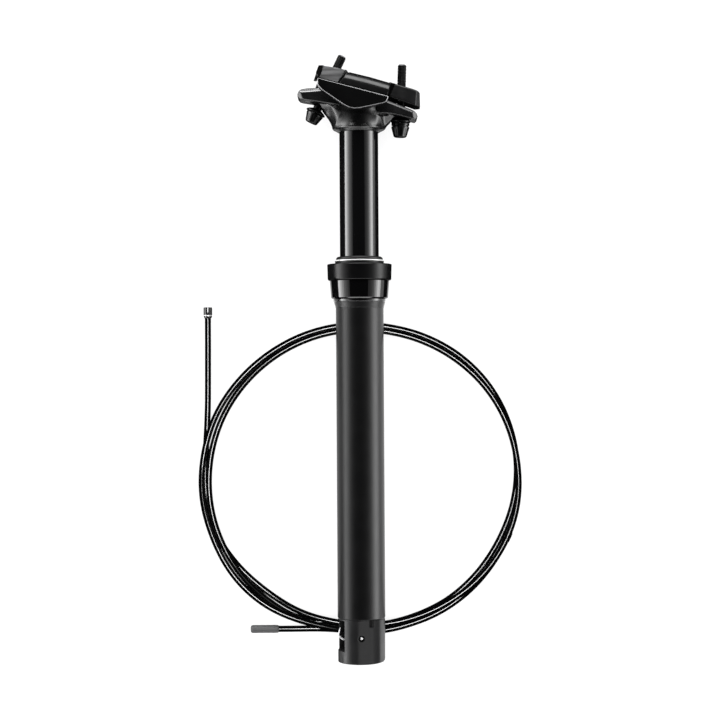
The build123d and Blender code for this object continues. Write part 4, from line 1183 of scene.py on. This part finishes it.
# the tube's own strips, a little stronger toward the head
TL = [(2, 10, 8.6), (10, 18, 11.4), (18, 26, 6.8), (26, 34, 3.0), (34, 42, 1.0)]
TR = [(-20, -9, 1.6), (-9, 0, 3.0), (0, 8, 12.6), (8, 16, 15.5), (16, 24, 10.5), (24, 31, 4.8), (31, 38, 2.0)]
for share, ln, y in ((0.55, 2.6, 0.0), (0.62, 1.44, 0.6)):
    side_strips(-1, [(a, b, r * share) for a, b, r in TL], length=ln, y=y, receivers=only_tube, name="tube%d_" % int(ln))
    side_strips(1, [(a, b, r * share) for a, b, r in TR], length=ln, y=y, receivers=only_tube, name="tube%d_" % int(ln))
# the foot's own
side_strips(-1, [(-8, 4, 7.0), (4, 16, 6.0), (16, 28, 2.0)], receivers=only_foot, name="foot_")
side_strips(1, [(-45, -16, 0.9), (-16, -4, 0.5), (4, 16, 0.5), (20, 34, 1.0), (34, 60, 1.6)], receivers=only_foot, name="foot_")
# a dim glow from below along both rims
side_strips(-1, [(-88, -22, 0.8)], dist=1.0, receivers=rims, name="rim_")
side_strips(1, [(-88, -22, 1.25)], dist=1.0, receivers=rims, name="rim_")
softbox("head_side", (0.0, 1.25, 0.62), (0, 0.15, 0.027), 1.8, 0.9, 6.5, general)
softbox("head_back", (-0.2, 1.25, 0.5), (0, 0.17, 0.03), 0.9, 0.6, 22.0, only_head)
softbox("foot_side", (0.0, -1.35, 0.2), (0, 0, 0.027), 1.8, 0.75, 3.0, not_floor)
softbox("head_under", (0.0, -1.3, -0.45), (0, 0.15, 0.03), 1.4, 0.7, 3.4, only_head)
softbox("head_below", (0.0, -0.3, -0.95), (0, 0.15, 0.03), 1.0, 0.5, 0.8, only_head)
softbox("head_left", (-0.82, -0.56, 0.7), (0, 0.165, 0.035), 1.0, 0.42, 3.4, only_head)
softbox("head_right", (0.75, -0.7, 0.72), (0, 0.165, 0.035), 0.6, 0.42, 4.5, only_head)
softbox("under", (0.0, 0.0, -1.0), (0, 0, 0), 1.5, 1.9, 0.8, only_gloss)
softbox("foot_top", (0.3, -0.3, 1.5), (0, -0.19, 0.03), 1.6, 0.9, 1.7, only_foot)
fl = softbox("floor_light", (0.0, 0.0, 2.2), (0, 0, 0), 6.0, 6.0, 2.0, only_floor)
fl.light_linking.blocker_collection = only_floor
softbox("cord_top", (0.0, -0.05, 1.6), (0, -0.05, 0), 0.34, 0.34, 55.0, only_cords, "DISK")

world = bpy.data.worlds.new("world")
bpy.context.scene.world = world
world.use_nodes = True
bg = world.node_tree.nodes["Background"]
bg.inputs["Color"].default_value = (0.95, 0.95, 0.95, 1.0)
bg.inputs["Strength"].default_value = 1.2
# the pale surroundings show behind the object and light nothing
for kind in ("diffuse", "glossy", "transmission", "scatter"):
    setattr(world.cycles_visibility, kind, False)
